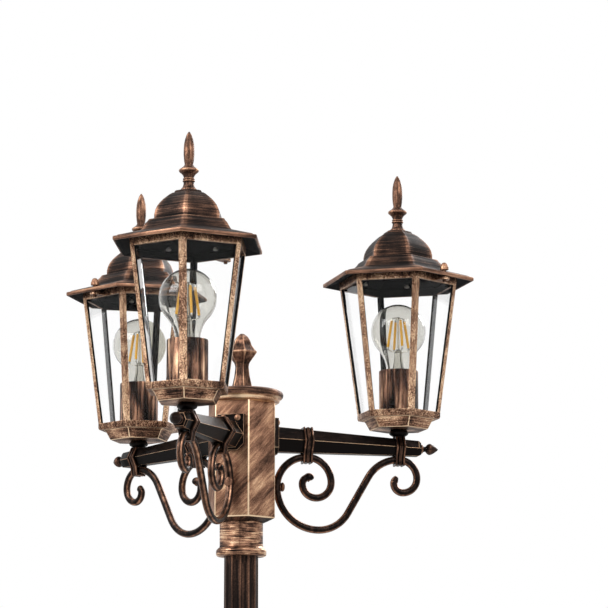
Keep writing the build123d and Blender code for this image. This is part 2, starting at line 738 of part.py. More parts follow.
def make_cage(plane, stud_turn):
    """Six corner pillars between a top band and a foot rim, with a lug for the roof's stud."""
    corner = corner_plane(plane)
    inset = cage_wall / cos30
    hex_stack(corner, [(-cage_depth, cage_foot_radius - 1), (-cage_depth + 2, cage_foot_radius),
                       (cage_foot, cage_foot_radius)])
    hex_stack(corner, [(cage_foot, cage_foot_radius), (cage_top, cage_top_radius)])
    hex_stack(corner, [(cage_foot, cage_foot_radius - inset), (cage_top, cage_top_radius - inset)],
              Mode.SUBTRACT)
    hex_stack(corner, [(-cage_depth, cage_foot_radius - cage_rim_width),
                       (cage_foot, cage_foot_radius - cage_rim_width)], Mode.SUBTRACT)
    low, high = cage_foot, -cage_top_band
    low_half, high_half = cage_radius(low) / 2 - pillar_leg, cage_radius(high) / 2 - pillar_leg
    for index in range(6):
        with BuildSketch(facing_plane(plane, 60 * index).offset(cage_foot_radius / 2)) as window:
            with BuildLine():
                Polyline((low_half, low), (high_half, high), (-high_half, high), (-low_half, low),
                         close=True)
            make_face()
        extrude(window.sketch, amount=cage_top_radius, mode=Mode.SUBTRACT)
    lug = plane.rotated((0, 0, stud_turn)).offset(-lug_drop)
    near = cage_top_radius * cos30 - cage_wall
    with BuildSketch(lug) as tab:
        with Locations(((near + lug_reach) / 2, 0)):
            Rectangle(lug_reach - near, 2 * lug_half)
        with Locations((lug_reach, 0)):
            Circle(lug_half)
            Circle(stud_radius + lift_play, mode=Mode.SUBTRACT)
    extrude(tab.sketch, amount=lug_thick)


def make_panes(plane):
    """Six glass panes behind the pillars, leaning with the sides."""
    low, high = cage_foot + seat_play, cage_top - 1
    lean = degrees(atan2(cage_slope * cos30, 1))
    for index in range(6):
        upright = facing_plane(plane, 60 * index)
        reach = cage_radius(low) * cos30 - cage_wall - 2 * seat_play
        leaning = facing_plane(plane, 60 * index, lean)
        leaning.origin = upright.from_local_coords((0, low, reach))
        tall = (high - low) / cos(radians(lean)) - pane_thick
        low_half = (cage_radius(low) - cage_wall / cos30) / 2 - pane_thick
        high_half = (cage_radius(high) - cage_wall / cos30) / 2 - pane_thick
        rise = pane_thick * sin(radians(lean)) + seat_play
        with BuildSketch(leaning) as sheet:
            with BuildLine():
                Polyline((low_half, rise), (high_half, tall), (-high_half, tall), (-low_half, rise),
                         close=True)
            make_face()
        extrude(sheet.sketch, amount=-pane_thick)


def stud_plane(plane, stud_turn):
    """Plane on the stud's axis, at the height of the roof's edge."""
    spot = plane.origin + outward(plane, stud_turn) * lug_reach
    return Plane(origin=spot, x_dir=outward(plane, stud_turn), z_dir=plane.z_dir)


def brim_top(reach):
    """Height of the brim's upper side over a pane's middle, at a distance from the lantern axis."""
    outer, inner = eave_radius * cos30, tier_radius * cos30
    return eave_edge / 2 + (brim_rise - eave_edge / 2) * (outer - reach) / (outer - inner)


tier_top = brim_rise + tier_height
dome_base = tier_top + 1.5
dome_shares = [(0, dome_radius), (0.3, 38.8), (0.58, 32.5), (0.8, 25.0), (0.94, 18.5),
               (1, roof_cap_radius)]


def make_roof(plane, stud_turn):
    """Hexagonal roof cast in one shell: a spreading brim, a low tier, a dome and a small cap."""
    corner = corner_plane(plane)
    dome = [(dome_base + share * dome_height, r) for share, r in dome_shares]
    hex_stack(corner, [(-eave_edge / 2, eave_radius - 1), (-eave_edge / 2 + 1, eave_radius),
                       (eave_edge / 2, eave_radius), (brim_rise, tier_radius),
                       (brim_rise + tier_height * 0.65, tier_top_radius + 3.5),
                       (tier_top, tier_top_radius), *dome, (roof_height, roof_cap_radius - 4)])
    hex_stack(corner, [(-eave_edge / 2, eave_radius - roof_wall),
                       (seat_ledge_rise, seat_ledge_radius)], Mode.SUBTRACT)
    hex_stack(corner, [(seat_ledge_rise, cage_top_radius - 2 * cage_wall),
                       (brim_rise - roof_wall, tier_radius - roof_wall),
                       (tier_top - roof_wall, tier_top_radius - 2 * roof_wall),
                       *[(z - roof_wall / 2, r - roof_wall) for z, r in dome[1:-2]]], Mode.SUBTRACT)
    drill(stud_plane(plane, stud_turn).offset(-eave_edge), [(0, 0)], stud_radius + seat_play,
          3 * eave_edge)
    cylinder(corner.offset(roof_height), stud_radius + seat_play, -3 * roof_wall, Mode.SUBTRACT)


def make_roof_nut(plane, stud_turn):
    """A stud that passes through the brim and the cage's lug, with an acorn nut on it."""
    spot = stud_plane(plane, stud_turn)
    seat = brim_top(lug_reach - acorn_radius)
    cylinder(spot.offset(-lug_drop - 2.5), stud_radius, lug_drop + 2.5 + seat + 1)
    hex_stack(spot, [(seat, acorn_radius), (seat + acorn_height * 0.4, acorn_radius)])
    turned(spot.offset(seat + acorn_height * 0.4),
           [(acorn_radius * cos30, 0, 0), (acorn_radius * 0.65, acorn_height * 0.4, 0),
            (acorn_radius * 0.2, acorn_height * 0.6, 0)])


def make_top_finial(plane):
    """Turned finial: a spreading foot, a beaded neck, a flared ring and a spike, on a threaded stub."""
    foot = plane.offset(roof_height)
    turned(foot, [(8.9, 0, 0), (5.6, 5, 0), (5.4, 9, 0), (6.6, 10.5, 0), (5.4, 12, 0), (5.6, 15, 0),
                  (top_finial_radius, 20.5, 0), (top_finial_radius, 22.5, 0), (4.6, 27.5, 0),
                  (spike_radius, 38, 0), (spike_radius - 0.4, 50, 0), (0.6, top_finial_height, 0)])
    cylinder(foot, stud_radius, -2 * roof_wall)


def make_tray(plane):
    """Hexagonal cup under the cage that carries the lamp holder and turns on the stem."""
    corner = corner_plane(plane)
    foot = -cage_depth - tray_depth
    hex_stack(corner, [(foot, tray_foot_radius), (-cage_depth - tray_step, tray_waist_radius),
                       (-cage_depth, tray_top_radius)])
    hex_stack(corner, [(foot + tray_floor, tray_foot_radius - casting_wall),
                       (-cage_depth, tray_waist_radius - casting_wall)], Mode.SUBTRACT)
    cylinder(corner.offset(foot), stem_radius + swivel_play, tray_floor, Mode.SUBTRACT)


def make_holder(plane):
    """Lamp holder: a pocket over the stem's nut below and the lamp's socket above."""
    foot = plane.offset(-cage_depth - tray_depth + tray_floor)
    turned(foot, [(holder_radius, 0, 0), (holder_radius, 20, 0), (holder_radius - 1, 22, 0),
                  (holder_radius - 1, holder_length - 4, 0), (holder_radius, holder_length - 3, 0),
                  (holder_radius - 1, holder_length, 0)])
    cylinder(foot, holder_pocket_radius, holder_pocket_depth, Mode.SUBTRACT)
    cylinder(foot.offset(holder_pocket_depth), stem_bore_radius, holder_length, Mode.SUBTRACT)
    cylinder(foot.offset(holder_length), lamp_cap_radius + lift_play, -lamp_cap_length - lift_play,
             Mode.SUBTRACT)


def make_sleeve(plane):
    foot = plane.offset(-cage_depth - tray_depth + tray_floor)
    turned(foot, [(sleeve_radius, 0, 0), (sleeve_radius, sleeve_length, 0)],
           bore=sleeve_radius - sleeve_wall)


lamp_foot = -cage_depth - tray_depth + tray_floor + holder_length - lamp_cap_length
neck_line = lamp_foot + lamp_cap_length
lamp_middle = lamp_foot + lamp_length - lamp_radius


def make_lamp_glass(plane):
    """Clear bulb: a ball that runs down into a narrow neck, open at the foot."""
    axis = plane.offset(neck_line)
    middle = lamp_middle - neck_line
    shoulder = radians(lamp_shoulder)
    for wall, mode in ((0, Mode.ADD), (lamp_wall, Mode.SUBTRACT)):
        neck, ball = lamp_neck_radius - wall, lamp_radius - wall
        turned(axis, [(neck, 0, 0), (neck + 1, 6, -lamp_neck_swell),
                      (ball * cos(shoulder), middle - ball * sin(shoulder),
                       ball * (1 - cos(shoulder / 2))),
                      (ball, middle, ball * (1 - cos(radians(45)))),
                      (0, middle + ball, 0)], mode=mode)


def make_lamp_cap(plane):
    """Lamp cap with its insulator and the contact at its foot."""
    foot = plane.offset(lamp_foot)
    ridge = lamp_cap_radius
    turned(foot, [(4.5, 0, 0), (5, 1.5, 0), (10, 4, 0), (ridge - 0.8, 6, 0), (ridge - 0.8, 20.4, 0),
                  (ridge, 22, 0), (ridge, lamp_cap_length, 0)])


def make_filaments(plane):
    """Glass stem with four leaning filaments and their lead wires."""
    foot = plane.offset(neck_line)
    rod_foot = lamp_middle - neck_line - filament_length / 2 - 3
    turned(foot, [(lamp_neck_radius - 4, 0, 0), (4.4, rod_foot - 10, 0), (4.4, rod_foot - 4, 0),
                  (1.5, rod_foot, 0), (1.5, rod_foot + filament_length + 2, 0)])
    for index in range(filament_count):
        side = radial_plane(foot, 360 * index / filament_count + 20)
        low = (filament_foot_reach, rod_foot)
        high = (filament_top_reach, rod_foot + filament_length)
        spots = [((0, rod_foot - 4), low, lead_radius), (low, high, filament_radius),
                 (high, (0, rod_foot + filament_length), lead_radius)]
        for start, end, radius in spots:
            a, b = [side.from_local_coords((*point, 0)) for point in (start, end)]
            with BuildSketch(Plane(origin=a, z_dir=b - a)) as strip:
                Rectangle(2 * radius, 1.6 * radius)
            extrude(strip.sketch, amount=(b - a).length)


for name in arm_angles:
    lantern = stem_plane(name)
    stud_turn = stud_turns[name]

    with BuildPart() as tray:
        make_tray(lantern)
    tray.part.label = "tray_" + name
    export_step(tray.part, "parts/tray_" + name + ".step")

    with BuildPart() as cage:
        make_cage(lantern, stud_turn)
    cage.part.label = "cage_" + name
    export_step(cage.part, "parts/cage_" + name + ".step")

    with BuildPart() as panes:
        make_panes(lantern)
    panes.part.label = "panes_" + name
    export_step(panes.part, "parts/panes_" + name + ".step")

    with BuildPart() as roof:
        make_roof(lantern, stud_turn)
    roof.part.label = "roof_" + name
    export_step(roof.part, "parts/roof_" + name + ".step")

    with BuildPart() as roof_nut:
        make_roof_nut(lantern, stud_turn)
    roof_nut.part.label = "roof_nut_" + name
    export_step(roof_nut.part, "parts/roof_nut_" + name + ".step")

    with BuildPart() as top_finial:
        make_top_finial(lantern)
    top_finial.part.label = "finial_" + name
    export_step(top_finial.part, "parts/finial_" + name + ".step")

    with BuildPart() as lamp_holder:
        make_holder(lantern)
    lamp_holder.part.label = "lamp_holder_" + name
    export_step(lamp_holder.part, "parts/lamp_holder_" + name + ".step")

    with BuildPart() as holder_sleeve:
        make_sleeve(lantern)
    holder_sleeve.part.label = "holder_sleeve_" + name
    export_step(holder_sleeve.part, "parts/holder_sleeve_" + name + ".step")

    with BuildPart() as bulb_glass:
        make_lamp_glass(lantern)
    bulb_glass.part.label = "bulb_glass_" + name
    export_step(bulb_glass.part, "parts/bulb_glass_" + name + ".step")

    with BuildPart() as bulb_cap:
        make_lamp_cap(lantern)
    bulb_cap.part.label = "bulb_cap_" + name
    export_step(bulb_cap.part, "parts/bulb_cap_" + name + ".step")

    with BuildPart() as bulb_filaments:
        make_filaments(lantern)
    bulb_filaments.part.label = "bulb_filaments_" + name
    export_step(bulb_filaments.part, "parts/bulb_filaments_" + name + ".step")
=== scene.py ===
from functools import partial
from math import atan2, cos, degrees, radians, sin
import bmesh
import bpy
import numpy as np
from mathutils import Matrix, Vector


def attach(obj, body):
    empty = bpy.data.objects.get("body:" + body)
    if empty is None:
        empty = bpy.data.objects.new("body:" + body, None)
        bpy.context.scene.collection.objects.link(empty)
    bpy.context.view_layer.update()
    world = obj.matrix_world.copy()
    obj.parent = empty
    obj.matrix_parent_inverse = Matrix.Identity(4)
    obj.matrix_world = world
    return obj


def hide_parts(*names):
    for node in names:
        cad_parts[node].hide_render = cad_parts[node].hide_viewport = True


# Garden lamp post with three lanterns, in rubbed antique copper. Sizes are in mm; mm turns them to metres.
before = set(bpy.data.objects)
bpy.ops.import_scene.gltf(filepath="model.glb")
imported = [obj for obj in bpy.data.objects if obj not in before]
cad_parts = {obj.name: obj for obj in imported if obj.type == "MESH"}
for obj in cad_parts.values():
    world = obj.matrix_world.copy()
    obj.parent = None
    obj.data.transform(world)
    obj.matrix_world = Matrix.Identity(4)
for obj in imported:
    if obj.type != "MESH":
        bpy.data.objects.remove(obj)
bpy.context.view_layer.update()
mm = 0.001
cos30 = cos(radians(30))  # a hexagon's half width across its flats, for a corner radius of 1
armAngles = {"front": -90.0, "right": 30.0, "left": 150.0}
print("frame loaded:", len(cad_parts), "nodes")


def linear(code):
    parts = [int(code[i:i + 2], 16) / 255 for i in (1, 3, 5)]
    return tuple(c / 12.92 if c <= 0.04045 else ((c + 0.055) / 1.055) ** 2.4 for c in parts) + (1.0,)


# Settings are values of a node's sockets or its own options. A link is a node, for its first output, or
# (node, output).
def addNode(tree, kind, settings={}, links={}):
    node = tree.nodes.new("ShaderNode" + kind)
    for key, value in settings.items():
        if isinstance(key, int) or key in node.inputs:
            node.inputs[key].default_value = value
        else:
            setattr(node, key, value)
    for key, link in links.items():
        source, output = link if isinstance(link, tuple) else (link, 0)
        tree.links.new(source.outputs[output], node.inputs[key])
    return node


def setRamp(node, stops):
    ramp = node.color_ramp
    while len(ramp.elements) < len(stops):
        ramp.elements.new(0.5)
    for element, (place, code) in zip(ramp.elements, stops):
        element.position, element.color = place, linear(code)


# Fills the node tree of a material or the world: build adds nodes and returns the one that shows
def fillTree(owner, output, build, *look):
    owner.use_nodes = True
    owner.node_tree.nodes.clear()
    add = partial(addNode, owner.node_tree)
    add(output, {}, {"Surface": build(add, *look)})
    return owner


def newMaterial(name, build, *look):
    return fillTree(bpy.data.materials.new(name), "OutputMaterial", build, *look)


def newObject(name, data):
    thing = bpy.data.objects.new(name, data)
    bpy.context.scene.collection.objects.link(thing)
    return thing


# Cast aluminium, painted near black, with copper brushed over it and rubbed back by hand: the copper is
# thick on edges, catches on the grain of the casting, and thins out into brown and black between.
# cover: share of copper. streak, speck, patch: size in mm and strength of brush marks, the casting's grain
# and cloudy areas. edge: strength of wear. Real brush marks, 0.2 to 0.5 mm wide, are too fine to show, and
# are drawn coarser. tilt: their slant in degrees. unrolled: patterns run round the post's axis as if its
# skin, at this radius, lay flat; the seam falls on a corner at the back.
antiqueLooks = {
    # cages: hammered look, bright and black specks a millimetre or two across
    "rubbedCopperCasting": dict(
        cover=0.72, streak=((3, 3, 14), 0.9), speck=(1.0, 2.2), patch=((22, 22, 22), 1.0), edge=0.3),
    # trays: level wipe marks, with worn edges
    "wipedCopperTray": dict(
        cover=0.79, streak=((30, 30, 1.6), 1.5), speck=(1.0, 1.3), patch=((22, 22, 22), 1.3), edge=0.35),
    # body: brighter, with cloudy marks wiped across it on a slant that runs on from face to face
    "wipedCopperBody": dict(
        cover=0.62, streak=((2.6, 2.6, 22), 0.8), tilt=(0, 48, 0), speck=(0.8, 0.6),
        patch=((15, 15, 38), 1.15), edge=0.45, unrolled=36.0),
    # roofs: dark brown, with fine marks that run level round the dome
    "brushedRoofBronze": dict(
        cover=0.14, streak=((60, 60, 1.5), 1.15), speck=(0.8, 0.5), patch=((30, 30, 18), 0.7), edge=0.42),
    # poles: dark, with long upright marks in the flutes and worn lands between them
    "brushedPoleBronze": dict(
        cover=0.2, streak=((1.8, 1.8, 90), 1.2), speck=(1.5, 0.3), patch=((40, 40, 90), 0.7), edge=0.5),
    # fluted skirt: darkest of all, hardly any copper left but on the lands
    "smokedSkirtBronze": dict(
        cover=0.14, streak=((1.6, 1.6, 70), 0.9), speck=(1.5, 0.3), patch=((50, 50, 90), 0.5), edge=0.55),
    # rings, couplings and the foot: level marks from turning and wiping
    "turnedCopperRing": dict(
        cover=0.42, streak=((40, 40, 1.6), 1.0), speck=(0.8, 0.7), patch=((30, 30, 20), 0.8), edge=0.3),
    # head cap: dark on its rim, bright on the band under it
    "wipedCapCopper": dict(
        cover=0.42, streak=((26, 26, 1.8), 1.1), speck=(0.8, 0.7), patch=((20, 20, 12), 0.8), edge=0.5),
    # neck: bright, with black level scratches
    "scratchedCopperNeck": dict(
        cover=0.58, streak=((22, 22, 1.1), 2.1), tilt=(4, 3, 0), speck=(0.8, 0.5),
        patch=((14, 14, 10), 1.5), edge=0.15),
    # beams, their tips and the lanterns' stems: near black with a worn copper line on each edge
    "blackedBeamBronze": dict(
        cover=0.07, streak=((12, 12, 2.0), 0.5), speck=(0.8, 0.3),
        patch=((30, 30, 30), 0.7), edge=0.82, dullest=0.42),
    # scroll bars and clips: black steel, half glossy, with brown and copper where it is worn
    "blackedScrollSteel": dict(
        cover=0.08, streak=((5, 5, 9), 0.9), speck=(0.8, 0.3),
        patch=((13, 13, 13), 0.6), edge=0.68, dullest=0.28),
    # sleeves over the lamp holders: brown with dark runs down them
    "streakedCopperSleeve": dict(
        cover=0.38, streak=((4.5, 4.5, 70), 2.4), speck=(0.8, 0.6), patch=((14, 14, 40), 1.5), edge=0.3),
    # finials, nuts and screw heads: brown, speckled, with copper on each bead
    "brushedFinialBronze": dict(
        cover=0.45, streak=((2.2, 2.2, 14), 0.9), speck=(0.8, 0.4), patch=((9, 9, 12), 0.7), edge=0.5),
}
# From black paint through brown to bright rubbed copper. between: copper shares between which the gloss
# changes. grain: height in mm of the brush marks; speckShare: the specks' share of it.
patina = dict(
    stops=[(0.0, "#110d0c"), (0.2, "#261c18"), (0.42, "#563e32"), (0.64, "#956d57"), (0.84, "#cea280"),
    (1.0, "#f2d4b0")], metal=0.88, level=0.3, dullest=0.6, brightest=0.33, between=(0.1, 0.9), bump=0.35,
    grain=0.4, speckShare=0.5)


# Copper share = cover + each pattern, less its middle of 0.5, times its gain + the mesh's rub times edge
def antique(add, look):
    (mark, markGain), (speck, speckGain), (patch, patchGain) = look["streak"], look["speck"], look["patch"]
    place = add("TexCoord")
    skin = place, "Object"
    if "unrolled" in look:
        parts = add("SeparateXYZ", {}, {"Vector": skin})
        turn = add("Math", {"operation": "ARCTAN2"}, {0: (parts, "Y"), 1: (parts, "X")})
        across = add("Math", {"operation": "MULTIPLY", 1: look["unrolled"] * mm}, {0: turn})
        skin = add("CombineXYZ", {}, {"X": across, "Z": (parts, "Z")})
    slant = [radians(v) for v in look.get("tilt", (0, 0, 0))]
    brush, cloud = (add("Mapping", {"vector_type": "TEXTURE", "Rotation": slant,
        "Scale": [v * mm for v in size]}, {"Vector": skin})
        for size in (mark, patch))
    streaks = add("TexNoise", {"Scale": 1.0, "Detail": 4.0, "Roughness": 0.62, "Distortion": 0.4},
        {"Vector": brush})
    specks = add("TexNoise", {"Scale": 1 / (speck * mm), "Detail": 2.0}, {"Vector": (place, "Object")})
    patches = add("TexNoise", {"Scale": 1.0, "Detail": 3.0}, {"Vector": cloud})
    rub = add("Attribute", {"attribute_name": "rub"})
    share = look["cover"] - 0.5 * (markGain + speckGain + patchGain)
    total = add("Math", {"operation": "MULTIPLY_ADD", 1: markGain, 2: share}, {0: streaks})
    for source, gain in ((specks, speckGain), (patches, patchGain), ((rub, "Fac"), look["edge"])):
        total = add("Math", {"operation": "MULTIPLY_ADD", 1: gain}, {0: source, 2: total})
    colour = add("ValToRGB", {}, {"Fac": total})
    setRamp(colour, patina["stops"])
    least, most = patina["between"]
    gloss = add("MapRange", {"From Min": least, "From Max": most, "To Max": patina["brightest"],
        "To Min": look.get("dullest", patina["dullest"])}, {"Value": total})
    grain = add("Math", {"operation": "MULTIPLY_ADD", 1: patina["speckShare"]}, {0: specks, 2: streaks})
    bump = add("Bump", {"Strength": patina["bump"], "Distance": patina["grain"] * mm}, {"Height": grain})
    return add("BsdfPrincipled", {"Metallic": patina["metal"], "Specular IOR Level": patina["level"]},
        {"Base Color": colour, "Roughness": gloss, "Normal": bump})


# Soda glass, smooth and clear: tint and index. It lets the lamps' light through, and a ray that has met many
# panes goes on unbent, where a bent one would stop short and leave a black patch.
glassLooks = {
    # float glass, colourless: its index is matched down from 1.5, as the panes mirror little here
    "windowGlass": ("#ffffff", 1.17),
    # blown lamp glass, a little smoky
    "bulbGlass": ("#e9e8e4", 1.4),
}
bentSurfaces = 5.5  # a ray that has met more isn't bent


def clearGlass(add, tint, ior):
    shader = add("BsdfPrincipled", {"Base Color": linear(tint), "Roughness": 0.0, "IOR": ior,
        "Transmission Weight": 1.0})
    film = add("BsdfTransparent", {"Color": linear(tint)})
    rays = add("LightPath")
    deep = add("Math", {"operation": "GREATER_THAN", 1: bentSurfaces}, {0: (rays, "Ray Depth")})
    plain = add("Math", {"operation": "MAXIMUM"}, {0: (rays, "Is Shadow Ray"), 1: deep})
    return add("MixShader", {}, {0: plain, 1: shader, 2: film})


# Even finishes: colour, the shade it mottles to, the mottle's size in mm, and the shader's settings
evenLooks = {
    # painted shade for faces inside the castings: matt near black, no shine
    "insideShadeBlack": ("#1b1c1d", "#131415", 2.0, {"Roughness": 0.85, "Specular IOR Level": 0.1}),
    # zinc-plated steel: bright grey, soft spangle
    "zincSteel": ("#b9b5ad", "#8f8a82", 2.0, {"Metallic": 1.0, "Roughness": 0.32}),
    # nickel-plated brass screw cap: bright and smooth
    "nickelCap": ("#cfcbc4", "#b4afa6", 3.0, {"Metallic": 1.0, "Roughness": 0.22}),
    # moulded black phenolic: deep grey, half gloss
    "blackPhenolic": ("#24262a", "#1b1c1f", 1.2, {"Roughness": 0.42}),
    # moulded cream nylon: matt, a little waxy
    "creamNylon": ("#dedbd0", "#cbc7ba", 1.5, {"Roughness": 0.5}),
    # phosphor gel over the filament's diodes: matt egg yellow
    "phosphorGel": ("#f7c02f", "#eda71c", 1.0, {"Roughness": 0.55}),
    # drawn nickel wire: pale and bright
    "drawnWire": ("#e8e6e0", "#cfcdc6", 1.0, {"Metallic": 0.8, "Roughness": 0.25}),
}
mottling = dict(stops=(0.35, 0.65), bump=0.15, height=0.1)


def evenFinish(add, colour, shade, size, settings):
    place = add("TexCoord"), "Object"
    mottle = add("TexNoise", {"Scale": 1 / (size * mm), "Detail": 3.0}, {"Vector": place})
    tone = add("ValToRGB", {}, {"Fac": mottle})
    setRamp(tone, list(zip(mottling["stops"], (shade, colour))))
    height = mottling["height"] * mm
    bump = add("Bump", {"Strength": mottling["bump"], "Distance": height}, {"Height": mottle})
    return add("BsdfPrincipled", settings, {"Base Color": tone, "Normal": bump})


finishes = {name: newMaterial(name, antique, look) for name, look in antiqueLooks.items()}
finishes.update({name: newMaterial(name, clearGlass, *look) for name, look in glassLooks.items()})
finishes.update({name: newMaterial(name, evenFinish, *look) for name, look in evenLooks.items()})
print("finishes made:", len(finishes))


def finishPiece(name, mesh, finish, slot, node=None, body="post", smoothBelow=35.0, primed=None):
    mesh.polygons.foreach_set("use_smooth", np.ones(len(mesh.polygons), dtype=bool))
    mesh.set_sharp_from_angle(angle=radians(smoothBelow))
    mesh.materials.clear()
    mesh.materials.append(finishes[finish])
    if primed is not None:  # faces painted near black, as painted shade inside
        mesh.materials.append(finishes["insideShadeBlack"])
        mesh.polygons.foreach_set("material_index", primed.astype(np.int32))
    piece = newObject(name, mesh)
    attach(piece, body)
    if node:
        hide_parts(node)


# Quads between neighbouring rows and columns: columns always close, rows close on a hollow piece
def gridFaces(rows, columns, hollow):
    i = np.arange(rows if hollow else rows - 1)[:, None]
    j = np.arange(columns)
    up, along = (i + 1) % rows, (j + 1) % columns
    quads = np.stack([i * columns + j, i * columns + along, up * columns + along, up * columns + j], axis=-1)
    return quads.reshape(-1, 4)


# Rows brought to length 1
def unit(rows):
    return rows / (np.linalg.norm(rows, axis=-1, keepdims=True) + 1e-9)


# One mesh from grids: each is (points, rub, hollow), and one that isn't hollow is capped at both ends
def gridMesh(name, grids):
    verts, faces, rubs, first = [], [], [], 0
    for points, rub, hollow in grids:
        rows, columns = points.shape[:2]
        faces += (gridFaces(rows, columns, hollow) + first).tolist()
        if not hollow:
            faces.append((np.arange(columns)[::-1] + first).tolist())
            faces.append((np.arange(columns) + (rows - 1) * columns + first).tolist())
        verts.append(points.reshape(-1, 3))
        rubs.append(np.broadcast_to(rub, (rows, columns)).reshape(-1))
        first += rows * columns
    mesh = bpy.data.meshes.new(name)
    mesh.from_pydata(np.concatenate(verts) * mm, [], faces)
    mesh.attributes.new("rub", "FLOAT", "POINT").data.foreach_set(
        "value", np.concatenate(rubs).astype(np.float32))
    mesh.update()
    return mesh


def gridPiece(name, grids, *rest, **more):
    finishPiece(name, gridMesh(name, grids), *rest, **more)


# A broken line with rounded corners: each becomes a quadratic curve between the points a reach away from
# it, (1-t)^2 a + 2t(1-t) corner + t^2 b. Further columns go the same way.
def softLine(points, reach=1.0, steps=3):
    points = np.array(points, float)
    rows = [points[0]]
    for before, corner, after in zip(points, points[1:], points[2:]):
        back, on = np.hypot(*(before - corner)[:2]), np.hypot(*(after - corner)[:2])
        a = corner + (before - corner) * min(0.45, reach / max(back, 1e-6))
        b = corner + (after - corner) * min(0.45, reach / max(on, 1e-6))
        t = np.linspace(0, 1, steps + 1)[:, None]
        rows += list((1 - t) ** 2 * a + 2 * t * (1 - t) * corner + t ** 2 * b)
    rows.append(points[-1])
    return np.array(rows)


def roundTurns(count):
    return np.arange(count) * 2 * np.pi / count


# Turns round a hexagon with a corner at 0, crowded towards the corners
def hexTurns(shares=(0.0, 0.5, 0.8, 0.9, 0.96, 0.99)):
    side = np.degrees(np.arctan(np.array(shares) * np.tan(radians(30))))
    side = np.unique(np.concatenate([-side, side, [30.0]]))
    return np.radians(np.concatenate([30 + 60 * k + side for k in range(6)]))


# Reach of a hexagon of corner radius 1: cos 30 over a soft greatest of the cosines to its six sides
def hexReach(turns, sharp=420.0):
    sides = np.radians(30 + 60 * np.arange(6))[:, None]
    cosines = np.clip(np.cos(turns - sides), 0, None)
    return cos30 / (cosines ** sharp).sum(axis=0) ** (1 / sharp)


# 1 on a hexagon's corners, down to 0 over the outer third of a width in degrees
def nearCorner(turns, width=3.0):
    away = np.abs((np.degrees(turns) + 30) % 60 - 30)
    return np.clip((width - away) / (width / 3), 0, 1)


# Share of each flute's pitch from its middle, 0 to 0.5
def fluteShare(turns, flutes):
    return np.abs((turns * flutes / (2 * np.pi) + 0.5) % 1 - 0.5)


fluting = dict(half=0.38, fade=0.08)  # a flute's half width, and how a land's shine fades, by the pitch


# Places round an upright axis: the centre + (reach turned, height)
def turned(reach, turns, height, centre):
    return np.stack([centre[0] + reach * np.cos(turns), centre[1] + reach * np.sin(turns),
        centre[2] + np.broadcast_to(height, reach.shape)], axis=-1)


# Surface about an upright axis: (radius x circle or hexagon - flute) turned, at the line's height. The
# line's columns are radius, height and flute depth, and a flute is half an ellipse across.
def revolve(line, turns, centre=(0, 0, 0), hexed=False, flutes=0, turn=0.0):
    radius, height = line[:, :1], line[:, 1:2]
    reach = radius * (hexReach(turns) if hexed else np.ones(len(turns)))
    if flutes:
        across = np.clip(fluteShare(turns, flutes) / fluting["half"], 0, 1)
        reach = reach - line[:, 2:] * np.sqrt(1 - across ** 2)
    return turned(reach, turns + radians(turn), height, centre)


# Rub on a fluted piece's lands, none in its flutes
def landRub(turns, piece):
    past = fluteShare(turns, piece["flutes"]) - piece["landFrom"]
    return piece["rub"] * np.clip(past / fluting["fade"], 0, 1)


# rub for a bend's sine, rub where nothing wears, and a near black rub for faces inside: painted shade
wear = dict(bendGain=2.2, least=-0.4, insideShade=-2.5)


def limited(rub):
    return np.clip(rub, wear["least"], 1)


# Rub along a turned line, from the sine of its bend: high where the line turns a corner outwards
def edgeRub(line, gain=1.0):
    p = line[:, :2]
    before, after = p - np.roll(p, 1, axis=0), np.roll(p, -1, axis=0) - p
    bend = before[:, 0] * after[:, 1] - before[:, 1] * after[:, 0]
    size = np.hypot(*before.T) * np.hypot(*after.T) + 1e-9
    rub = limited(bend / size * wear["bendGain"]) * gain
    rub[0] = rub[-1] = 0
    return rub[:, None]


# One grid from a line turned round an upright axis, with an even rub
def evenTurn(line, steps, spot=(0, 0, 0), rub=0.0, hollow=False):
    return revolve(np.array(line), roundTurns(steps), spot), rub, hollow


def softened(piece):
    return softLine(piece["line"], piece["soft"])


# The same from a piece's dictionary, rubbed on its outward bends
def wornTurn(piece, spot=(0, 0, 0), hollow=True):
    line = softened(piece)
    return evenTurn(line, piece["steps"], spot, edgeRub(line, piece["rub"]), hollow)


# A hexagonal one, rubbed on its corners as well
def hexTurn(piece, spot=(0, 0, 0), hollow=False):
    line, turns = softened(piece), hexTurns()
    rub = limited(edgeRub(line, piece["rub"]) + nearCorner(turns, piece["corner"]) * piece["cornerRub"])
    return revolve(line, turns, spot, hexed=True), rub, hollow


# Places on an arm: how far out along it, how far to its left, and at what height
def onArm(out, aside, height, angle):
    a = radians(angle)
    return np.stack([out * cos(a) - aside * sin(a), out * sin(a) + aside * cos(a), height], axis=-1)


# Lays grids made about an upright axis out along an arm, from (reach, aside, height)
def alongArm(grids, start, angle):
    return [(onArm(*(start + points[..., ::-1]).transpose(2, 0, 1), angle), rub, hollow)
        for points, rub, hollow in grids]


# The mesh less the cutter
def cutMesh(mesh, cutter):
    things = [newObject("whole", mesh), newObject("tool", cutter)]
    cut = things[0].modifiers.new("cut", "BOOLEAN")
    cut.object, cut.operation, cut.solver = things[1], "DIFFERENCE", "EXACT"
    made = bpy.data.meshes.new_from_object(things[0].evaluated_get(bpy.context.evaluated_depsgraph_get()))
    for thing in things:
        bpy.data.objects.remove(thing)
    return made


# Edges sharper than sharpAbove, and longer than longAbove widths, are rounded. under, shaded: darker rub on
# faces that look down, as painted shade, and on a cage's bands outside the given heights: painted shade under
# its eave, and the same darkening on its rim. leanDown, leanIn: which faces look down, and in.
casting = dict(
    mergeWithin=0.004, flatWithin=1.5, sharpAbove=25.0, longAbove=2.2, under=-0.8, shaded=-0.7,
    leanDown=-0.3, leanIn=-0.25,
    edges=dict(nut=0.5, body=1.0, block=0.3, beam=0.7, cage=0.5, tray=0.6, stems=0.4))
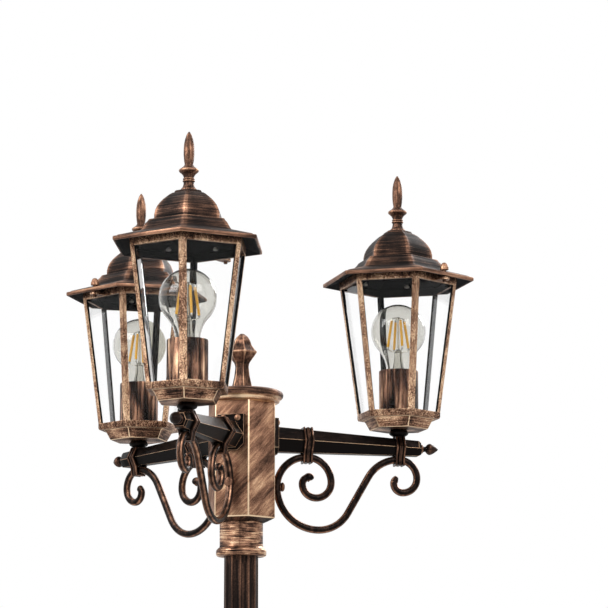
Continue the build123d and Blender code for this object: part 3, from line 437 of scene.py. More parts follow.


# A merged copy of a CAD casting with small rounded edges. Rub is 1 on these, and low on undersides, as
# painted shade, and outside the given heights. Faces that look in towards the axis are matt near black:
# painted shade inside.
def castingCopy(name, node, finish, slot, edge, body="post", axis=None, unshadedBand=()):
    width = casting["edges"][edge] * mm
    bm = bmesh.new()
    bm.from_mesh(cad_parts[node].data)
    bmesh.ops.remove_doubles(bm, verts=bm.verts, dist=casting["mergeWithin"] * mm)
    bmesh.ops.dissolve_limit(bm, angle_limit=radians(casting["flatWithin"]), verts=bm.verts, edges=bm.edges)
    for height in unshadedBand:
        bmesh.ops.bisect_plane(bm, geom=bm.verts[:] + bm.edges[:] + bm.faces[:], dist=1e-6,
            plane_co=(0, 0, height * mm), plane_no=(0, 0, 1))
    edges = [e for e in bm.edges if len(e.link_faces) == 2 and e.calc_length() > casting["longAbove"] * width
        and e.calc_face_angle(0) > radians(casting["sharpAbove"])]
    bmesh.ops.bevel(bm, geom=edges, offset=width, offset_type="OFFSET", segments=2, profile=0.5,
        affect="EDGES", clamp_overlap=True, material=1)
    mesh = bpy.data.meshes.new(name)
    bm.to_mesh(mesh)
    bm.free()
    mesh.update()
    count = len(mesh.polygons)
    kinds, normals, middles = np.zeros(count, int), np.zeros((count, 3)), np.zeros((count, 3))
    for what, values in (("material_index", kinds), ("normal", normals), ("center", middles)):
        mesh.polygons.foreach_get(what, values.ravel())
    rub = (kinds == 1).astype(np.float32)
    # faces that look down are darkened: painted shade
    rub[(normals[:, 2] < casting["leanDown"]) & (kinds == 0)] = casting["under"]
    # a cage's band above the rail is darkened as painted shade under the eave; its rim below is darkened the
    # same
    if unshadedBand:
        beyond = (middles[:, 2] < unshadedBand[0] * mm) | (middles[:, 2] > unshadedBand[1] * mm)
        rub[beyond & (kinds == 0)] = casting["shaded"]
    primed = np.zeros(count, bool)
    if axis is not None:
        # faces that look in: matt near black, painted shade inside the lantern and body
        out = unit(middles[:, :2] - np.array(axis) * mm)
        primed = (normals[:, :2] * out).sum(axis=1) < casting["leanIn"]
    mesh.attributes.new("rub", "FLOAT", "FACE").data.foreach_set("value", rub)
    finishPiece(name, mesh, finish, slot, node, body, 30, primed)


# Lines are (radius, height), up the outside, and back down inside where the piece is hollow
foot = dict(
    soft=1.6, rub=0.8, corner=3.0, cornerRub=0.8, holes=3, holeCircle=101.0, drill=[(4.5, -5), (4.5, 27)],
    drillSteps=20,
    line=[(67.5, 0), (111.2, 0), (112, 1), (112, 16), (106, 21.5), (92, 23.16), (88.5, 28.96), (83, 45.2),
    (80, 62.6), (78, 80), (67.5, 80)])
band = dict(
    soft=1.5, steps=96, rub=0.25,
    line=[(67.5, 80), (76, 80), (78.2, 83.4), (78.2, 85.6), (76, 89.4), (72.5, 90), (67.5, 90)])
# the skirt's line has the depth of its flutes as well
skirt = dict(
    flutes=24, fluteSteps=10, landFrom=0.33, rub=0.6,
    line=[(73, 89.8, 0), (73.2, 93, 0.2), (72.5, 99, 1.9), (50.4, 331, 1.9), (49.8, 337, 0.2),
    (49.5, 340.2, 0), (43.6, 340.2, 0), (67.5, 90, 0)])
collar = dict(
    node="base", foot=340.0, soft=1.4, steps=96, rub=0.7,
    line=[(37.5, 0), (48, 0), (51, 3), (53, 6), (53.1, 14), (53, 22), (50.5, 24), (48.8, 27), (45, 32),
    (41.9, 34), (41.5, 40), (42.3, 50), (43, 60), (16.1, 60), (16.1, 55), (37.5, 55)])
ring = dict(
    node="base_ring", foot=400.0, soft=1.5, steps=96, rub=0.8,
    line=[(37, 0), (40.5, 0), (42.5, 3), (47.3, 9), (49.9, 15), (51, 22), (52.8, 24.6), (52.8, 26.4),
    (51, 29), (49.2, 35), (45.2, 42), (40.2, 49), (36.5, 52.5), (36, 55), (36.7, 58), (36.5, 61),
    (35.5, 63), (16.1, 63), (16.1, 49), (28.5, 49), (36.5, 30)])


# A hexagon of falling radius, with anchor holes bored through
def makeFoot():
    mesh = gridMesh("foot", [hexTurn(foot, hollow=True)])
    for a in np.radians(360 / foot["holes"] * np.arange(foot["holes"])):
        spot = (foot["holeCircle"] * cos(a), foot["holeCircle"] * sin(a), 0)
        mesh = cutMesh(mesh, gridMesh("drill", [evenTurn(foot["drill"], foot["drillSteps"], spot)]))
    finishPiece("base_foot", mesh, "turnedCopperRing", "dark_casting", "base")


# A round band, and a skirt with half-ellipse flutes
def makeSkirt():
    gridPiece("base_band", [evenTurn(softened(band), band["steps"], rub=band["rub"], hollow=True)],
        "turnedCopperRing", "dark_casting", "base")
    line, turns = np.array(skirt["line"]), roundTurns(skirt["flutes"] * skirt["fluteSteps"])
    rub = np.tile(landRub(turns, skirt), (len(line), 1))
    # the skirt's inside: near black, painted shade
    rub[-2:] = wear["insideShade"]
    gridPiece("base_skirt", [(revolve(line, turns, flutes=skirt["flutes"]), rub, True)], "smokedSkirtBronze",
        "dark_casting", "base")


def makeRing(name, piece):
    grid = wornTurn(piece, (0, 0, piece["foot"]))
    gridPiece(name, [grid], "turnedCopperRing", "dark_casting", piece["node"])


makeFoot()
makeSkirt()
makeRing("base_collar", collar)
makeRing("turned_base_ring", ring)
print("base made")

# clampLength: the lower pole's thread, through the ring and the neck plate. lowRows, highRows: more rows,
# measured from each end. A run is its foot, and its stations as (height from the foot, radius).
pole = dict(
    spigot=16.0, bore=12.5, flutes=12, fluteSteps=12, depth=1.2, fade=10.0, spigotLength=24.0,
    clampLength=80.0, lowRows=[4, 10, 60, 160], highRows=[10, 4], landFrom=0.34, rub=0.4,
    runs={"lower": (463.0, [(0, 33.5), (12, 31.2), (34, 29.8), (98, 28.8), (240, 26.0), (462, 21.8)]),
    "middle": (996.0, [(0, 21.3), (526, 20.0)]), "upper": (1585.0, [(0, 18.9), (332, 18.2)])})
lowerCoupling = dict(
    node="coupling_lower", foot=925.0, soft=1.6, steps=72, rub=0.8,
    line=[(16.1, 0), (24.2, 0), (26.2, 1.2), (28, 3.4), (28, 6), (26, 8.6), (23.2, 9.8), (22.6, 12),
    (23.95, 35.5), (22.1, 59), (22.7, 61.2), (25, 62.4), (27, 65), (27, 67.6), (24.7, 69.8), (23.2, 71),
    (16.1, 71)])
upperCoupling = dict(
    node="coupling_upper", foot=1522.0, soft=1.6, steps=72, rub=0.8,
    line=[(16.1, 0), (21.3, 0), (23.3, 1.2), (25.1, 3.4), (25.1, 6), (23.1, 8.6), (21.4, 9.8), (20.8, 12),
    (21.85, 31.5), (19.7, 51), (20.3, 53.2), (22.1, 54.4), (24.1, 57), (24.1, 59.6), (21.8, 61.8),
    (20.3, 63), (16.1, 63)])


# Radius by height, less half-ellipse flutes that fade out at both ends, with plain spigots and a bore
def makePole(name):
    p = pole
    start, stations = p["runs"][name]
    z, r = np.array(stations, float).T
    length = z[-1]
    levels = np.unique(np.concatenate([z, p["lowRows"], length - np.array(p["highRows"])]))
    deep = p["depth"] * np.clip(np.minimum(levels, length - levels) / p["fade"], 0, 1)
    outer = np.stack([np.interp(levels, z, r), start + levels, deep], axis=-1)
    below = start - (p["clampLength"] if name == "lower" else p["spigotLength"])
    end, above = start + length, start + length + p["spigotLength"]
    line = np.concatenate([[[p["bore"], below, 0], [p["spigot"], below, 0], [p["spigot"], start, 0]], outer,
        [[p["spigot"], end, 0], [p["spigot"], above, 0], [p["bore"], above, 0]]])
    turns = roundTurns(p["flutes"] * p["fluteSteps"])
    gridPiece("fluted_pole_" + name, [(revolve(line, turns, flutes=p["flutes"]), landRub(turns, p), True)],
        "brushedPoleBronze", "dark_casting", "pole_" + name)


for section in pole["runs"]:
    makePole(section)
makeRing("turned_coupling_lower", lowerCoupling)
makeRing("turned_coupling_upper", upperCoupling)
castingCopy("pole_nut", "pole_locknut", "zincSteel", "steel", "nut")
print("poles made")

neck = dict(
    foot=1917.0, soft=0.9, steps=120, rub=0.6,
    line=[(16.1, 0), (25.4, 0), (27, 1.6), (27, 6.2), (25.2, 8.4), (23.8, 9.3), (23.2, 10.6), (23.2, 35.3),
    (22.9, 37.3), (16.1, 37.3)],
    saw=dict(turn=-76.0, half=1.6, above=10.0, radius=23.2, depth=0.5, rub=-1.2))
# rubs: rub by height
cap = dict(
    foot=2082.8, top=15.5, soft=1.0, steps=96,
    line=[(4.2, -5), (30, -5), (30, 0), (39.5, 0), (41, 1.2), (41, 3.6), (43.2, 4.3), (44.6, 6.2),
    (45, 8.6), (44.2, 11), (42, 12.4), (39, 13.4), (26, 14.6), (14, 15.5), (4.2, 15.5)],
    rubs=[(-1, 0), (0.2, 1), (3.2, 1), (4.2, 0.9), (6, -0.1), (11, -0.1), (12, 0.5), (13.4, 0)])
headFinial = dict(
    soft=1.2, rub=0.8, corner=4.5, cornerRub=0.6, plug=[(4, -14), (4, 1)], plugSteps=16,
    line=[(12, 0), (11.4, 3), (8.8, 14), (7.6, 24), (8.4, 28), (10.6, 31), (14, 35.4), (17, 39.4),
    (16.8, 40.6), (14.6, 42.6), (10.8, 48), (9.2, 53), (6.2, 57.5), (2.2, 60.5)])


# Plain neck over a ring foot, with a shallow saw cut down one side
def makeNeck():
    line, turns, saw = softened(neck), roundTurns(neck["steps"]), neck["saw"]
    points = revolve(line, turns, (0, 0, neck["foot"]))
    rub = np.tile(edgeRub(line, neck["rub"]), (1, len(turns)))
    sawn = np.ix_(line[:, 1] > saw["above"], np.abs(np.degrees(turns) - 360 - saw["turn"]) < saw["half"])
    shrunk = 1 - saw["depth"] / saw["radius"]
    points[sawn] *= [shrunk, shrunk, 1]
    rub[sawn] = saw["rub"]
    gridPiece("turned_head_neck", [(points, rub, True)], "scratchedCopperNeck", "copper_casting",
        "head_collar")


def makeCap():
    line, spot = softened(cap), (0, 0, cap["foot"])
    rub = np.interp(line[:, 1], *np.array(cap["rubs"]).T)[:, None]
    gridPiece("rounded_head_cap", [evenTurn(line, cap["steps"], spot, rub, True)], "wipedCapCopper",
        "roof_casting", "head_cap")
    seat = (0, 0, cap["foot"] + cap["top"])
    plug = evenTurn(headFinial["plug"], headFinial["plugSteps"], seat)
    gridPiece("hexagonal_head_finial", [hexTurn(headFinial, seat), plug], "brushedFinialBronze",
        "roof_casting", "head_finial")


makeNeck()
makeCap()
castingCopy("hexagonal_body", "head_body", "wipedCopperBody", "copper_casting", "body", axis=(0, 0))
castingCopy("wire_block", "terminal_block", "creamNylon", "block_plastic", "block")
print("head made")

bodyFace = 38.0 * cos30  # from the post's axis to a flat of the body
beam = dict(
    underside=2030.3, reach=175.0, end=199.0, rootHeight=27.4, endHeight=16.4, rootHalf=14.5, endHalf=9.0,
    flatHalf=5.5, root=bodyFace + 5.0)
beamTip = dict(
    soft=0.8, steps=28, rub=0.8,
    line=[(4.8, 0), (5.1, 2), (2.9, 3.8), (2.8, 6), (4.4, 7.2), (5.9, 9), (6.3, 10.6), (5.8, 12.4),
    (4.2, 15.4), (2.2, 18.2), (0.5, 20)])
# ballTip: the ball's least radius, squared; endTip, endSwell: radius at the outer end, and its growth by the
# root of the way from there; wornAt, wornWidth: the worn lines' place and width, as cosines round the bar
scroll = dict(
    bar=4.0, barLine=4.2, clip=72.0, drop=82.9, postSpace=2.0, riseRun=45.9, riseShare=0.487,
    innerBends=(27.0, 17.0, 15.0, 7.0), outerBends=(20.0, 16.0, 10.0, 5.2), sides=24, ball=5.0,
    ballTurn=60.0, ballNeck=3.9, ballTip=0.2, endTip=0.4, endSwell=2.4, wornRub=1.05, wornAt=0.8,
    wornWidth=0.25)
rootBend = scroll["clip"] - bodyFace - scroll["postSpace"] - scroll["bar"]
boltDrop = scroll["barLine"] + rootBend
# inside: plain lines behind the head, for shank and collar
flangeScrew = dict(
    rise=31.6, spread=8.0, soft=0.5, steps=18, rub=0.6,
    inside=[[(2, -12), (2, 0.2)]],
    line=[(3.5, 0), (3.4, 0.8), (2.6, 1.9), (1.2, 2.4)])
bolt = dict(
    gap=0.5, soft=1.0, steps=24, rub=0.1,
    line=[(3, -0.3), (5, 0.4), (5, 2.2), (3.9, 3.4), (1.5, 4)],
    inside=[[(2, -20), (2, 0.2)], [(4, -10.4), (4, -8.6)]])
# half, from the middle to one edge: place along the arm, height off the beam, and rub. pushes: how each
# corner of the outline moves out.
clip = dict(
    legHalf=4.4, foot=-8.9, legTop=(0.8, -0.5),
    half=[(0, 2.8, 0.3), (1.6, 2.4, 0.3), (2.4, 1.5, -0.2), (3.0, 1.7, -0.2), (3.5, 3.0, 0.6),
    (4.7, 3.0, 0.6), (5.35, 2.4, 0.3), (5.35, 0.1, -0.2)],
    pushes=[(1.1, 0), (0.5, 1), (-0.5, 1), (-1.1, 0), (-0.9, -0.3), (-0.6, -0.8), (0.6, -0.8), (0.9, -0.3)])


# Chain of tangent arcs: each is (radius, degrees), left turns positive, or (length, None)
def arcLine(start, heading, arcs):
    place, way, points = np.array(start, float), radians(heading), [np.array([start], float)]
    for size, turn in arcs:
        if turn is None:
            run = place + np.linspace(0, 1, 5)[1:, None] * size * np.array([cos(way), sin(way)])
        else:
            side = 1 if turn > 0 else -1
            centre = place + side * size * np.array([-sin(way), cos(way)])
            steps = max(3, int(abs(turn) / 5))
            a = way - side * np.pi / 2 + np.radians(np.linspace(0, turn, steps + 1)[1:])
            run = centre + size * np.stack([np.cos(a), np.sin(a)], axis=-1)
            way += radians(turn)
        points.append(run)
        place = run[-1]
    return np.concatenate(points)


# Middle line of a scroll in (reach along the arm, height from the beam's underside): from the clip, one
# end curls in, and the other goes round the bolt, down, out and up to the outer clip
def scrollLine():
    s = scroll
    start = (s["clip"], -s["barLine"])
    belly = s["drop"] - boltDrop
    riseX = beam["reach"] - (s["clip"] - rootBend + belly)
    riseZ = s["drop"] - s["barLine"]
    both = (riseX ** 2 + riseZ ** 2 - s["riseRun"] ** 2) / (2 * riseZ)
    climb = degrees(atan2(riseZ - both, riseX) + atan2(both, s["riseRun"]))
    inner = arcLine(start, 0, [(r, -90) for r in s["innerBends"]] + [(s["ball"], -s["ballTurn"])])
    rise = [(s["riseShare"] * both, climb), (s["riseRun"], None), ((1 - s["riseShare"]) * both, -climb)]
    outer = arcLine(start, 180, [(rootBend, 90), (belly, 90)] + rise + [(r, -90) for r in s["outerBends"]])
    return np.concatenate([inner[::-1], outer[1:]])


# A circle carried along the middle line, with a ball at its inner end and a round outer end, worn in lines
# to each side of its outer and inner bends
def makeScroll(name, angle):
    s, line, ball = scroll, scrollLine(), scroll["ball"]
    along = unit(np.gradient(line, axis=0))
    gone = np.concatenate([[0], np.cumsum(np.linalg.norm(np.diff(line, axis=0), axis=1))])
    radius = np.full(len(line), s["bar"])
    inBall = gone < 2 * ball
    radius[inBall] = np.maximum(np.sqrt(np.clip(ball ** 2 - (gone[inBall] - ball) ** 2, s["ballTip"], None)),
        np.where(gone[inBall] > ball, s["ballNeck"], 0))
    radius = np.minimum(radius, s["endTip"] + s["endSwell"] * np.sqrt(gone[-1] - gone))
    normal = np.stack([-along[:, 1], along[:, 0]], axis=-1)
    t = roundTurns(s["sides"])
    flat = line[:, None] + (radius[:, None] * np.cos(t))[..., None] * normal[:, None]
    points = onArm(flat[..., 0], -radius[:, None] * np.sin(t), beam["underside"] + flat[..., 1], angle)
    rub = s["wornRub"] * np.clip(1 - np.abs(np.abs(np.cos(t)) - s["wornAt"]) / s["wornWidth"], 0, 1)
    gridPiece("scroll_bar_" + name, [(points, rub, False)], "blackedScrollSteel", "scroll_steel",
        "scroll_" + name, smoothBelow=60)


# A moulded clip: the beam's six-sided outline, drawn down to a leg round the bar and grown by a moulding's
# height, carried along the arm and closed inside
def makeClip(reach, angle):
    b, c = beam, clip
    share = (reach - b["root"]) / (b["end"] - b["root"])
    high = b["rootHeight"] + (b["endHeight"] - b["rootHeight"]) * share
    half = b["rootHalf"] + (b["endHalf"] - b["rootHalf"]) * share
    leg, low, flat, (wider, top) = c["legHalf"], c["foot"], b["flatHalf"], c["legTop"]
    corners = np.array([(half, high / 2), (flat, high), (-flat, high), (-half, high / 2), (-leg - wider, top),
        (-leg, low), (leg, low), (leg + wider, top)])
    rows = np.array(c["half"])
    along, grow, rub = np.concatenate([rows[:0:-1] * [-1, 1, 1], rows]).T
    section = corners[::-1] + grow[:, None, None] * np.array(c["pushes"])[::-1]
    out = reach + np.broadcast_to(along[:, None], section.shape[:2])
    return onArm(out, section[..., 0], b["underside"] + section[..., 1], angle), rub[:, None], True


# A screw's or bolt's turned head, and the plain parts behind it, laid along an arm
def fastener(piece, start, angle):
    head = evenTurn(softened(piece), piece["steps"], rub=piece["rub"])
    return alongArm([head] + [evenTurn(line, piece["steps"]) for line in piece["inside"]], start, angle)


def makeFasteners():
    screws, bolts, clips = [], [], []
    for angle in armAngles.values():
        for aside in (-flangeScrew["spread"], flangeScrew["spread"]):
            place = beam["root"], aside, beam["underside"] + flangeScrew["rise"]
            screws += fastener(flangeScrew, place, angle)
        seat = bodyFace + scroll["postSpace"] + 2 * scroll["bar"] + bolt["gap"]
        bolts += fastener(bolt, (seat, 0, beam["underside"] - boltDrop), angle)
        clips += [makeClip(scroll["clip"], angle), makeClip(beam["reach"], angle)]
    gridPiece("flange_screws", screws, "brushedFinialBronze", "steel", "arm_screws")
    gridPiece("scroll_bolt_heads", bolts, "brushedFinialBronze", "steel", "scroll_bolts")
    gridPiece("moulded_clips", clips, "blackedScrollSteel", "scroll_steel", "scroll_clips", smoothBelow=20)


for name, angle in armAngles.items():
    castingCopy("cast_beam_" + name, "beam_" + name, "blackedBeamBronze", "arm_bronze", "beam")
    makeScroll(name, angle)
    place = beam["end"], 0, beam["underside"] + beam["endHeight"] / 2
    gridPiece("beam_tip_" + name, alongArm([wornTurn(beamTip, hollow=False)], place, angle),
        "blackedBeamBronze", "arm_bronze", "arm_tip_" + name)
makeFasteners()
print("arms made")

lantern = dict(
    eave=2222.84, reach=175.0, turns={"front": -15.6, "right": 3.5, "left": 32.4}, cageDepth=153.0,
    railDepth=4.5, rimDepth=6.5, trayDepth=11.0, trayFloor=3.0)
cageFoot = lantern["eave"] - lantern["cageDepth"]
lampSeat = cageFoot - lantern["trayDepth"] + lantern["trayFloor"]
# outer, inner and brim run up outside and back down inside: corner radius, height from the roof's edge.
# ridge: half width in degrees of the worn hips, which fade in from ridgeFrom on; lip: the worn rim.
roof = dict(
    soft=0.5, foot=57.5, rub=0.8, ridge=6.0, ridgeFrom=12.0, ridgeFade=20.0, ridgeRub=0.9, lipFrom=83.0,
    lipHeight=3.0, lipRub=1.3, lipPower=0.3,
    outer=[(82.5, -2), (84.4, -2), (85, -1.4), (85, 1.5), (84.5, 2.1), (80.5, 3), (79.5, 3.9),
    (54.2, 10.9), (52.6, 12.4), (51.2, 14.6), (48.6, 19), (46.8, 20.6), (45.2, 22.6), (44.6, 23.6),
    (39.6, 24.2), (38.9, 25.4), (38.9, 29), (37.8, 33.8), (35.6, 38.4), (32.4, 42.5), (28.8, 46.2),
    (25, 49.3), (21.6, 52), (18.5, 53.8), (16.4, 54.4), (16, 55.5), (15, 56.6), (12, 57.5),
    (2.1, 57.5)],
    inner=[(2.1, 53), (16, 51.2), (23, 47.6), (29.5, 41.2), (35, 33), (36.4, 23), (42, 20), (49.5, 9.4),
    (60, 4.5), (60.5, 2.6)],
    brim=[(68.4, 2.6), (70, 1.6), (78.6, -0.9), (79.4, -1.6)])
spike = dict(
    soft=0.7, steps=36, rub=0.7, stub=[(2.0, -5.0), (2.0, 0.4)], stubSteps=12,
    line=[(8.9, 0), (8.6, 1.5), (6.6, 3.4), (5.7, 6), (5.3, 9), (6.5, 9.9), (6.5, 10.7), (5.3, 11.6),
    (6.2, 12.2), (6.2, 12.8), (5.2, 13.6), (5.6, 15.2), (7, 17.6), (9.8, 20), (10.5, 21), (10.3, 22.4),
    (8.6, 23.6), (6, 25.4), (4.6, 27.4), (4.5, 28.4), (5.1, 32), (5.6, 38), (5.6, 44), (5.2, 50),
    (4.2, 55), (2.6, 59.8), (0.6, 62.9)])
acorn = dict(
    reach=68.0, turns={"front": 180.0, "right": -60.0, "left": 60.0}, soft=0.5, steps=24, rub=0.4,
    line=[(4.6, 5.2), (4.6, 8.4), (3.9, 9.2), (3.6, 10.8), (2.4, 12.6), (0.9, 13.2)],
    stud=[(2, -8.3), (2, 5.6)], studSteps=12)
ledgeScrew = dict(
    reach=49.0, steps=16, count=6,
    line=[(1.2, 2.6), (2.5, 3), (2.9, 3.8), (2.9, 4.6), (1.6, 4.7), (1.6, 9)])


def lanternAxis(side):
    a = radians(armAngles[side])
    return lantern["reach"] * cos(a), lantern["reach"] * sin(a)


# A place level with a roof's edge, at a reach and a turn from the way that the lantern faces
def onEave(side, reach, turn):
    x, y = lanternAxis(side)
    a = radians(armAngles[side] + lantern["turns"][side] + turn)
    return x + reach * cos(a), y + reach * sin(a), lantern["eave"]


# A piece of one lantern: its name, node and body all end in that lantern's side
def lanternPiece(side, name, grids, finish, slot, node, body, **more):
    gridPiece(f"{name}_{side}", grids, finish, slot, node and f"{node}_{side}", f"{body}_{side}", **more)


# One closed shell: a hexagon whose radius follows brim, tier, dome and cap, and comes back down inside
def makeRoof(side):
    r, turns, (x, y) = roof, hexTurns(), lanternAxis(side)
    outer, inner, brim = (softLine(r[key], r["soft"], 2) for key in ("outer", "inner", "brim"))
    fade = np.clip((outer[:, :1] - r["ridgeFrom"]) / r["ridgeFade"], 0, 1)
    ridges = r["ridgeRub"] * nearCorner(turns, r["ridge"]) * fade
    lip = np.clip(1 - np.abs(outer[:, 1:]) / r["lipHeight"], 0, 1) * (outer[:, :1] > r["lipFrom"])
    rub = limited(np.maximum(edgeRub(outer, r["rub"]) + ridges, r["lipRub"] * lip ** r["lipPower"]))
    # inside the roof and under its brim: near black and matt, painted shade
    rub = np.concatenate([rub, np.full((len(inner) + len(brim), len(turns)), wear["insideShade"])])
    primed = np.repeat(np.arange(len(rub)) >= len(outer) - 1, len(turns))
    points = revolve(np.concatenate([outer, inner, brim]), turns, (x, y, lantern["eave"]), hexed=True,
        turn=armAngles[side] + lantern["turns"][side] + 30)
    lanternPiece(side, "hexagonal_roof", [(points, rub, True)], "brushedRoofBronze", "roof_casting", "roof",
        "roof", primed=primed)
    top = (x, y, lantern["eave"] + r["foot"])
    lanternPiece(side, "turned_finial", [wornTurn(spike, top, False),
        evenTurn(spike["stub"], spike["stubSteps"], top)],
        "brushedFinialBronze", "roof_casting", "finial", "roof")
    line, spot = softened(acorn), onEave(side, acorn["reach"], acorn["turns"][side])
    lanternPiece(side, "acorn_nut", [evenTurn(line, acorn["steps"], spot, acorn["rub"]),
        evenTurn(acorn["stud"], acorn["studSteps"], spot)],
        "brushedFinialBronze", "steel", "roof_nut", "roof")
    count = ledgeScrew["count"]
    spots = [onEave(side, ledgeScrew["reach"], 360 / count * k) for k in range(count)]
    screws = [evenTurn(ledgeScrew["line"], ledgeScrew["steps"], spot) for spot in spots]
    lanternPiece(side, "ledge_screws", screws, "zincSteel", "steel", None, "roof")


socket = dict(
    soft=0.4, steps=48, rub=0.0,
    line=[(3.5, 15), (12, 15), (12, 0), (19, 0), (19, 20), (18, 21.5), (18, 54), (19, 55), (19, 56.6),
    (18, 58), (13.3, 58), (13.3, 30.7), (3.5, 30.7)])
sleeve = dict(
    soft=0.2, steps=64, rub=0.4, insideShadeWithin=20.6,
    line=[(20.1, 0), (21.3, 0), (21.3, 61.3), (20.9, 62), (20.5, 62), (20.1, 61.3)])
# The lamp stands on the socket's top. thread: radius, height and pitch of the ridge, its start and end.
# wires: (reach, height) of a strip's foot and head, and of the leads to them. ferrule: length and radius of
# a strip's metal ends. stripTurns: how each lamp is screwed in.
lamp = dict(
    foot=58.0, capLength=27.0, middle=48.0, radius=30.0, neck=12.6, shoulder=42.0, wall=0.9, ballRows=30,
    neckRows=12, neckPull=11.0, neckFlare=0.2, topHole=0.15, glassSteps=64, capSteps=48, threadRows=43,
    capLine=[(4.5, 0), (5.0, 1.5), (10.0, 4.0), (12.1, 6.0)],
    thread=(12.55, 0.42, 3.62, 6.2, 20.2), capTop=[(12.2, 20.5), (13.0, 22), (13.0, 27)], stemSteps=24,
    stemSoft=1.0,
    stem=[(8.6, 0.5), (7, 3), (4.6, 16), (4.2, 23), (4.6, 25), (2.2, 27.5), (1.4, 30), (1.3, 62),
    (1.6, 64)],
    wires=[(12.5, 28), (7, 62), (1, 25), (8, 26), (3, 63.4), (0.5, 63)], strips=4, strip=1.45, stripTip=2.4,
    ferrule=(2.6, 1.16), lead=0.5, stripTurns={"front": 52.6, "right": 3.5, "left": -2.0})


# Outline of the glass: a cubic curve leaves the neck upright and meets the ball at its shoulder
def glassLine(wall):
    k, shoulder = lamp, radians(lamp["shoulder"])
    turn = np.linspace(-shoulder, np.pi / 2, k["ballRows"])
    r = k["radius"] - wall
    ball = np.stack([r * np.cos(turn), k["middle"] + r * np.sin(turn)], axis=-1)
    start, meet = np.array([k["neck"] - wall, 0.0]), ball[0]
    a = start + np.array([k["neckFlare"], k["neckPull"]])
    b = meet - k["neckPull"] * np.array([sin(shoulder), cos(shoulder)])
    t = np.linspace(0, 1, k["neckRows"])[:, None]
    ball[-1, 0] = k["topHole"]
    rise = (1 - t) ** 3 * start + 3 * t * (1 - t) ** 2 * a + 3 * t ** 2 * (1 - t) * b + t ** 3 * meet
    return np.concatenate([rise, ball[1:]])


# A thin rod: a circle carried along straight runs, square to the run at each point
def rod(points, radius, sides=10):
    line = np.array(points, float)
    along = unit(np.gradient(line, axis=0))
    side = unit(np.cross(along, [0.0, 0.0, 1.0]))
    other, t = np.cross(side, along), roundTurns(sides)
    return line[:, None] + radius * (np.cos(t)[:, None] * side[:, None] - np.sin(t)[:, None] * other[:, None])


def makeHolder(side):
    spot = *lanternAxis(side), lampSeat
    lanternPiece(side, "lamp_socket", [wornTurn(socket, spot)], "blackPhenolic", "holder_plastic",
        "lamp_holder", "lantern")
    line = softened(sleeve)
    rub = edgeRub(line, sleeve["rub"])
    # the sleeve's inside: near black, painted shade
    rub[line[:, 0] < sleeve["insideShadeWithin"]] = wear["insideShade"]
    lanternPiece(side, "socket_sleeve", [evenTurn(line, sleeve["steps"], spot, rub, True)],
        "streakedCopperSleeve", "copper_casting", "holder_sleeve", "lantern")


# The screw cap's ridge is a cosine of (height / pitch - turn), so it climbs one pitch a turn
def makeCapPoints(x, y, z):
    k, turns = lamp, roundTurns(lamp["capSteps"])
    radius, ridge, pitch, low, high = k["thread"]
    rise = np.linspace(low, high, k["threadRows"])
    line = np.concatenate([k["capLine"], np.stack([np.ones(len(rise)), rise], axis=-1), k["capTop"]])
    reach = np.repeat(line[:, :1], len(turns), axis=1)
    first = len(k["capLine"])
    reach[first:first + len(rise)] = radius + ridge * np.cos(2 * np.pi * rise[:, None] / pitch - turns)
    return turned(reach, turns, line[:, 1:], (x, y, z - k["capLength"]))


def makeLamp(side):
    k, centre = lamp, np.array([*lanternAxis(side), lampSeat + lamp["foot"]])
    shell = np.concatenate([glassLine(0.0), glassLine(k["wall"])[::-1]])
    lanternPiece(side, "clear_bulb", [evenTurn(shell, k["glassSteps"], centre, hollow=True)], "bulbGlass",
        "lamp_glass", "bulb_glass", "lamp", smoothBelow=60)
    lanternPiece(side, "threaded_cap", [(makeCapPoints(*centre), 0.0, False)], "nickelCap", "lamp_cap",
        "bulb_cap", "lamp")
    lanternPiece(side, "glass_stem", [evenTurn(softLine(k["stem"], k["stemSoft"]), k["stemSteps"], centre)],
        "bulbGlass", "lamp_glass", None, "lamp", smoothBelow=60)
    strips, wires, (grip, ferrule) = [], [], k["ferrule"]
    first = armAngles[side] + lantern["turns"][side] + k["stripTurns"][side]
    for a in np.radians(first + 360 / k["strips"] * np.arange(k["strips"])):
        foot, head, lowIn, lowOut, highOut, highIn = (
            centre + [reach * cos(a), reach * sin(a), height] for reach, height in k["wires"])
        way = unit(head - foot)
        strips.append((rod([foot + way * k["stripTip"], head - way * k["stripTip"]], k["strip"]), 0, False))
        for line, radius in (([foot, foot + way * grip], ferrule), ([head, head - way * grip], ferrule),
                ([lowIn, lowOut, foot, foot + way], k["lead"]),
                ([head - way, head, highOut, highIn], k["lead"])):
            wires.append((rod(line, radius), 0, False))
    lanternPiece(side, "led_strips", strips, "phosphorGel", "filament", "bulb_filaments", "lamp")
    lanternPiece(side, "lead_wires", wires, "drawnWire", "filament", None, "lamp")


for side in armAngles:
    # a cage is darkened above and below these heights: painted shade under the eave, and the same on its rim
    unshadedBand = cageFoot + lantern["rimDepth"], lantern["eave"] - lantern["railDepth"]
    for kind, finish, reach in (("cage", "rubbedCopperCasting", unshadedBand), ("tray", "wipedCopperTray", ())):
        castingCopy(f"lantern_{kind}_{side}", f"{kind}_{side}", finish, "copper_casting", kind,
            f"lantern_{side}", lanternAxis(side), reach)
    makeRoof(side)
    makeHolder(side)
    makeLamp(side)
    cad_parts["panes_" + side].material_slots[0].material = finishes["windowGlass"]
    print("lantern made:", side)
castingCopy("lantern_stems", "lantern_nipples", "blackedBeamBronze", "steel", "stems")

studio = dict(floorHalf=40.0, floorColour="#f4f4f3", floorShade="#f1f1f0", ambient=0.6, aim=(0.0, 0.0, 2.05))
studioLamps = {  # watts, size in metres, place
    "key": (95.0, 2.4, (-2.0, -2.3, 4.1)), "fill": (40.0, 2.0, (2.3, -1.7, 4.0)),
    "rim": (35.0, 1.4, (0.9, 2.6, 3.6))}


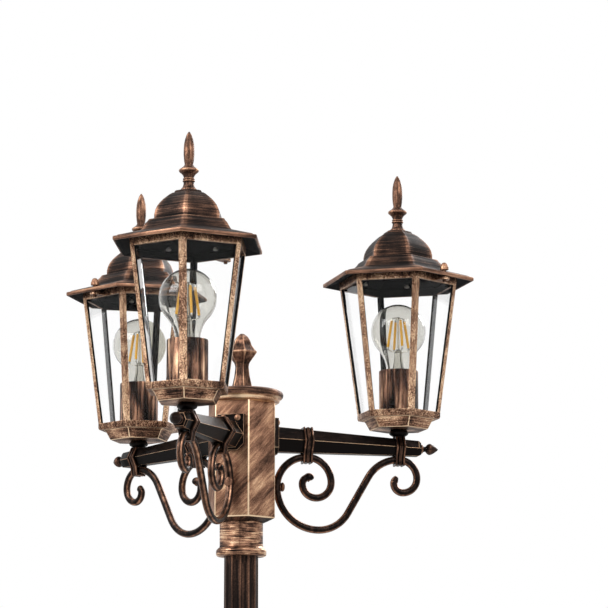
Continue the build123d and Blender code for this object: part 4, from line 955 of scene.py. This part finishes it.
# Matt pale paint, faintly uneven
def floorPaint(add):
    mottle = add("TexNoise", {"Scale": 3.0, "Detail": 2.0}, {"Vector": (add("TexCoord"), "Object")})
    colour = add("ValToRGB", {}, {"Fac": mottle})
    setRamp(colour, [(0.3, studio["floorShade"]), (0.7, studio["floorColour"])])
    return add("BsdfPrincipled", {"Roughness": 0.85}, {"Base Color": colour})


def makeFloor():
    half = studio["floorHalf"]
    mesh = bpy.data.meshes.new("floor")
    corners = [(-half, -half, 0), (half, -half, 0), (half, half, 0), (-half, half, 0)]
    mesh.from_pydata(corners, [], [(0, 1, 2, 3)])
    mesh.materials.append(newMaterial("paleFloorPaint", floorPaint))
    newObject("floor", mesh)


# Soft white surroundings: full white where the camera, a reflection or a look through glass meets them
def surroundings(add):
    rays = add("LightPath")
    shown = rays, "Is Camera Ray"
    for kind in ("Is Glossy Ray", "Is Transmission Ray"):
        shown = add("Math", {"operation": "MAXIMUM"}, {0: shown, 1: (rays, kind)})
    soft = add("Background", {"Color": (1, 1, 1, 1), "Strength": studio["ambient"]})
    white = add("Background", {"Color": (1, 1, 1, 1), "Strength": 1.0})
    return add("MixShader", {}, {0: shown, 1: soft, 2: white})


def makeLights():
    for name, (power, size, place) in studioLamps.items():
        light = bpy.data.lights.new(name, "AREA")
        light.energy, light.size = power, size
        box = newObject(name, light)
        box.location = place
        box.rotation_euler = (Vector(studio["aim"]) - Vector(place)).to_track_quat("-Z", "Y").to_euler()
    bpy.context.scene.view_settings.view_transform = "Standard"


# A long lens from the front right, a little below the head and tipped up
view = dict(
    azimuth=18.601, yaw=-1.276, distance=3.0182, height=1.63987, pitch=10.368, focalPixels=2819.7,
    framePixels=608, sensor=36.0, near=0.1, far=60.0)


def makeCamera():
    camera = bpy.data.cameras.new("camera")
    camera.sensor_width = view["sensor"]
    camera.lens = view["focalPixels"] / view["framePixels"] * view["sensor"]
    camera.clip_start, camera.clip_end = view["near"], view["far"]
    stand = newObject("camera", camera)
    a = radians(view["azimuth"])
    stand.location = (view["distance"] * sin(a), -view["distance"] * cos(a), view["height"])
    stand.rotation_euler = (radians(90 + view["pitch"]), 0, radians(view["azimuth"] + view["yaw"]))
    bpy.context.scene.camera = stand


makeFloor()
bpy.context.scene.world = fillTree(bpy.data.worlds.new("studioWorld"), "OutputWorld", surroundings)
makeLights()
makeCamera()
print("studio made")
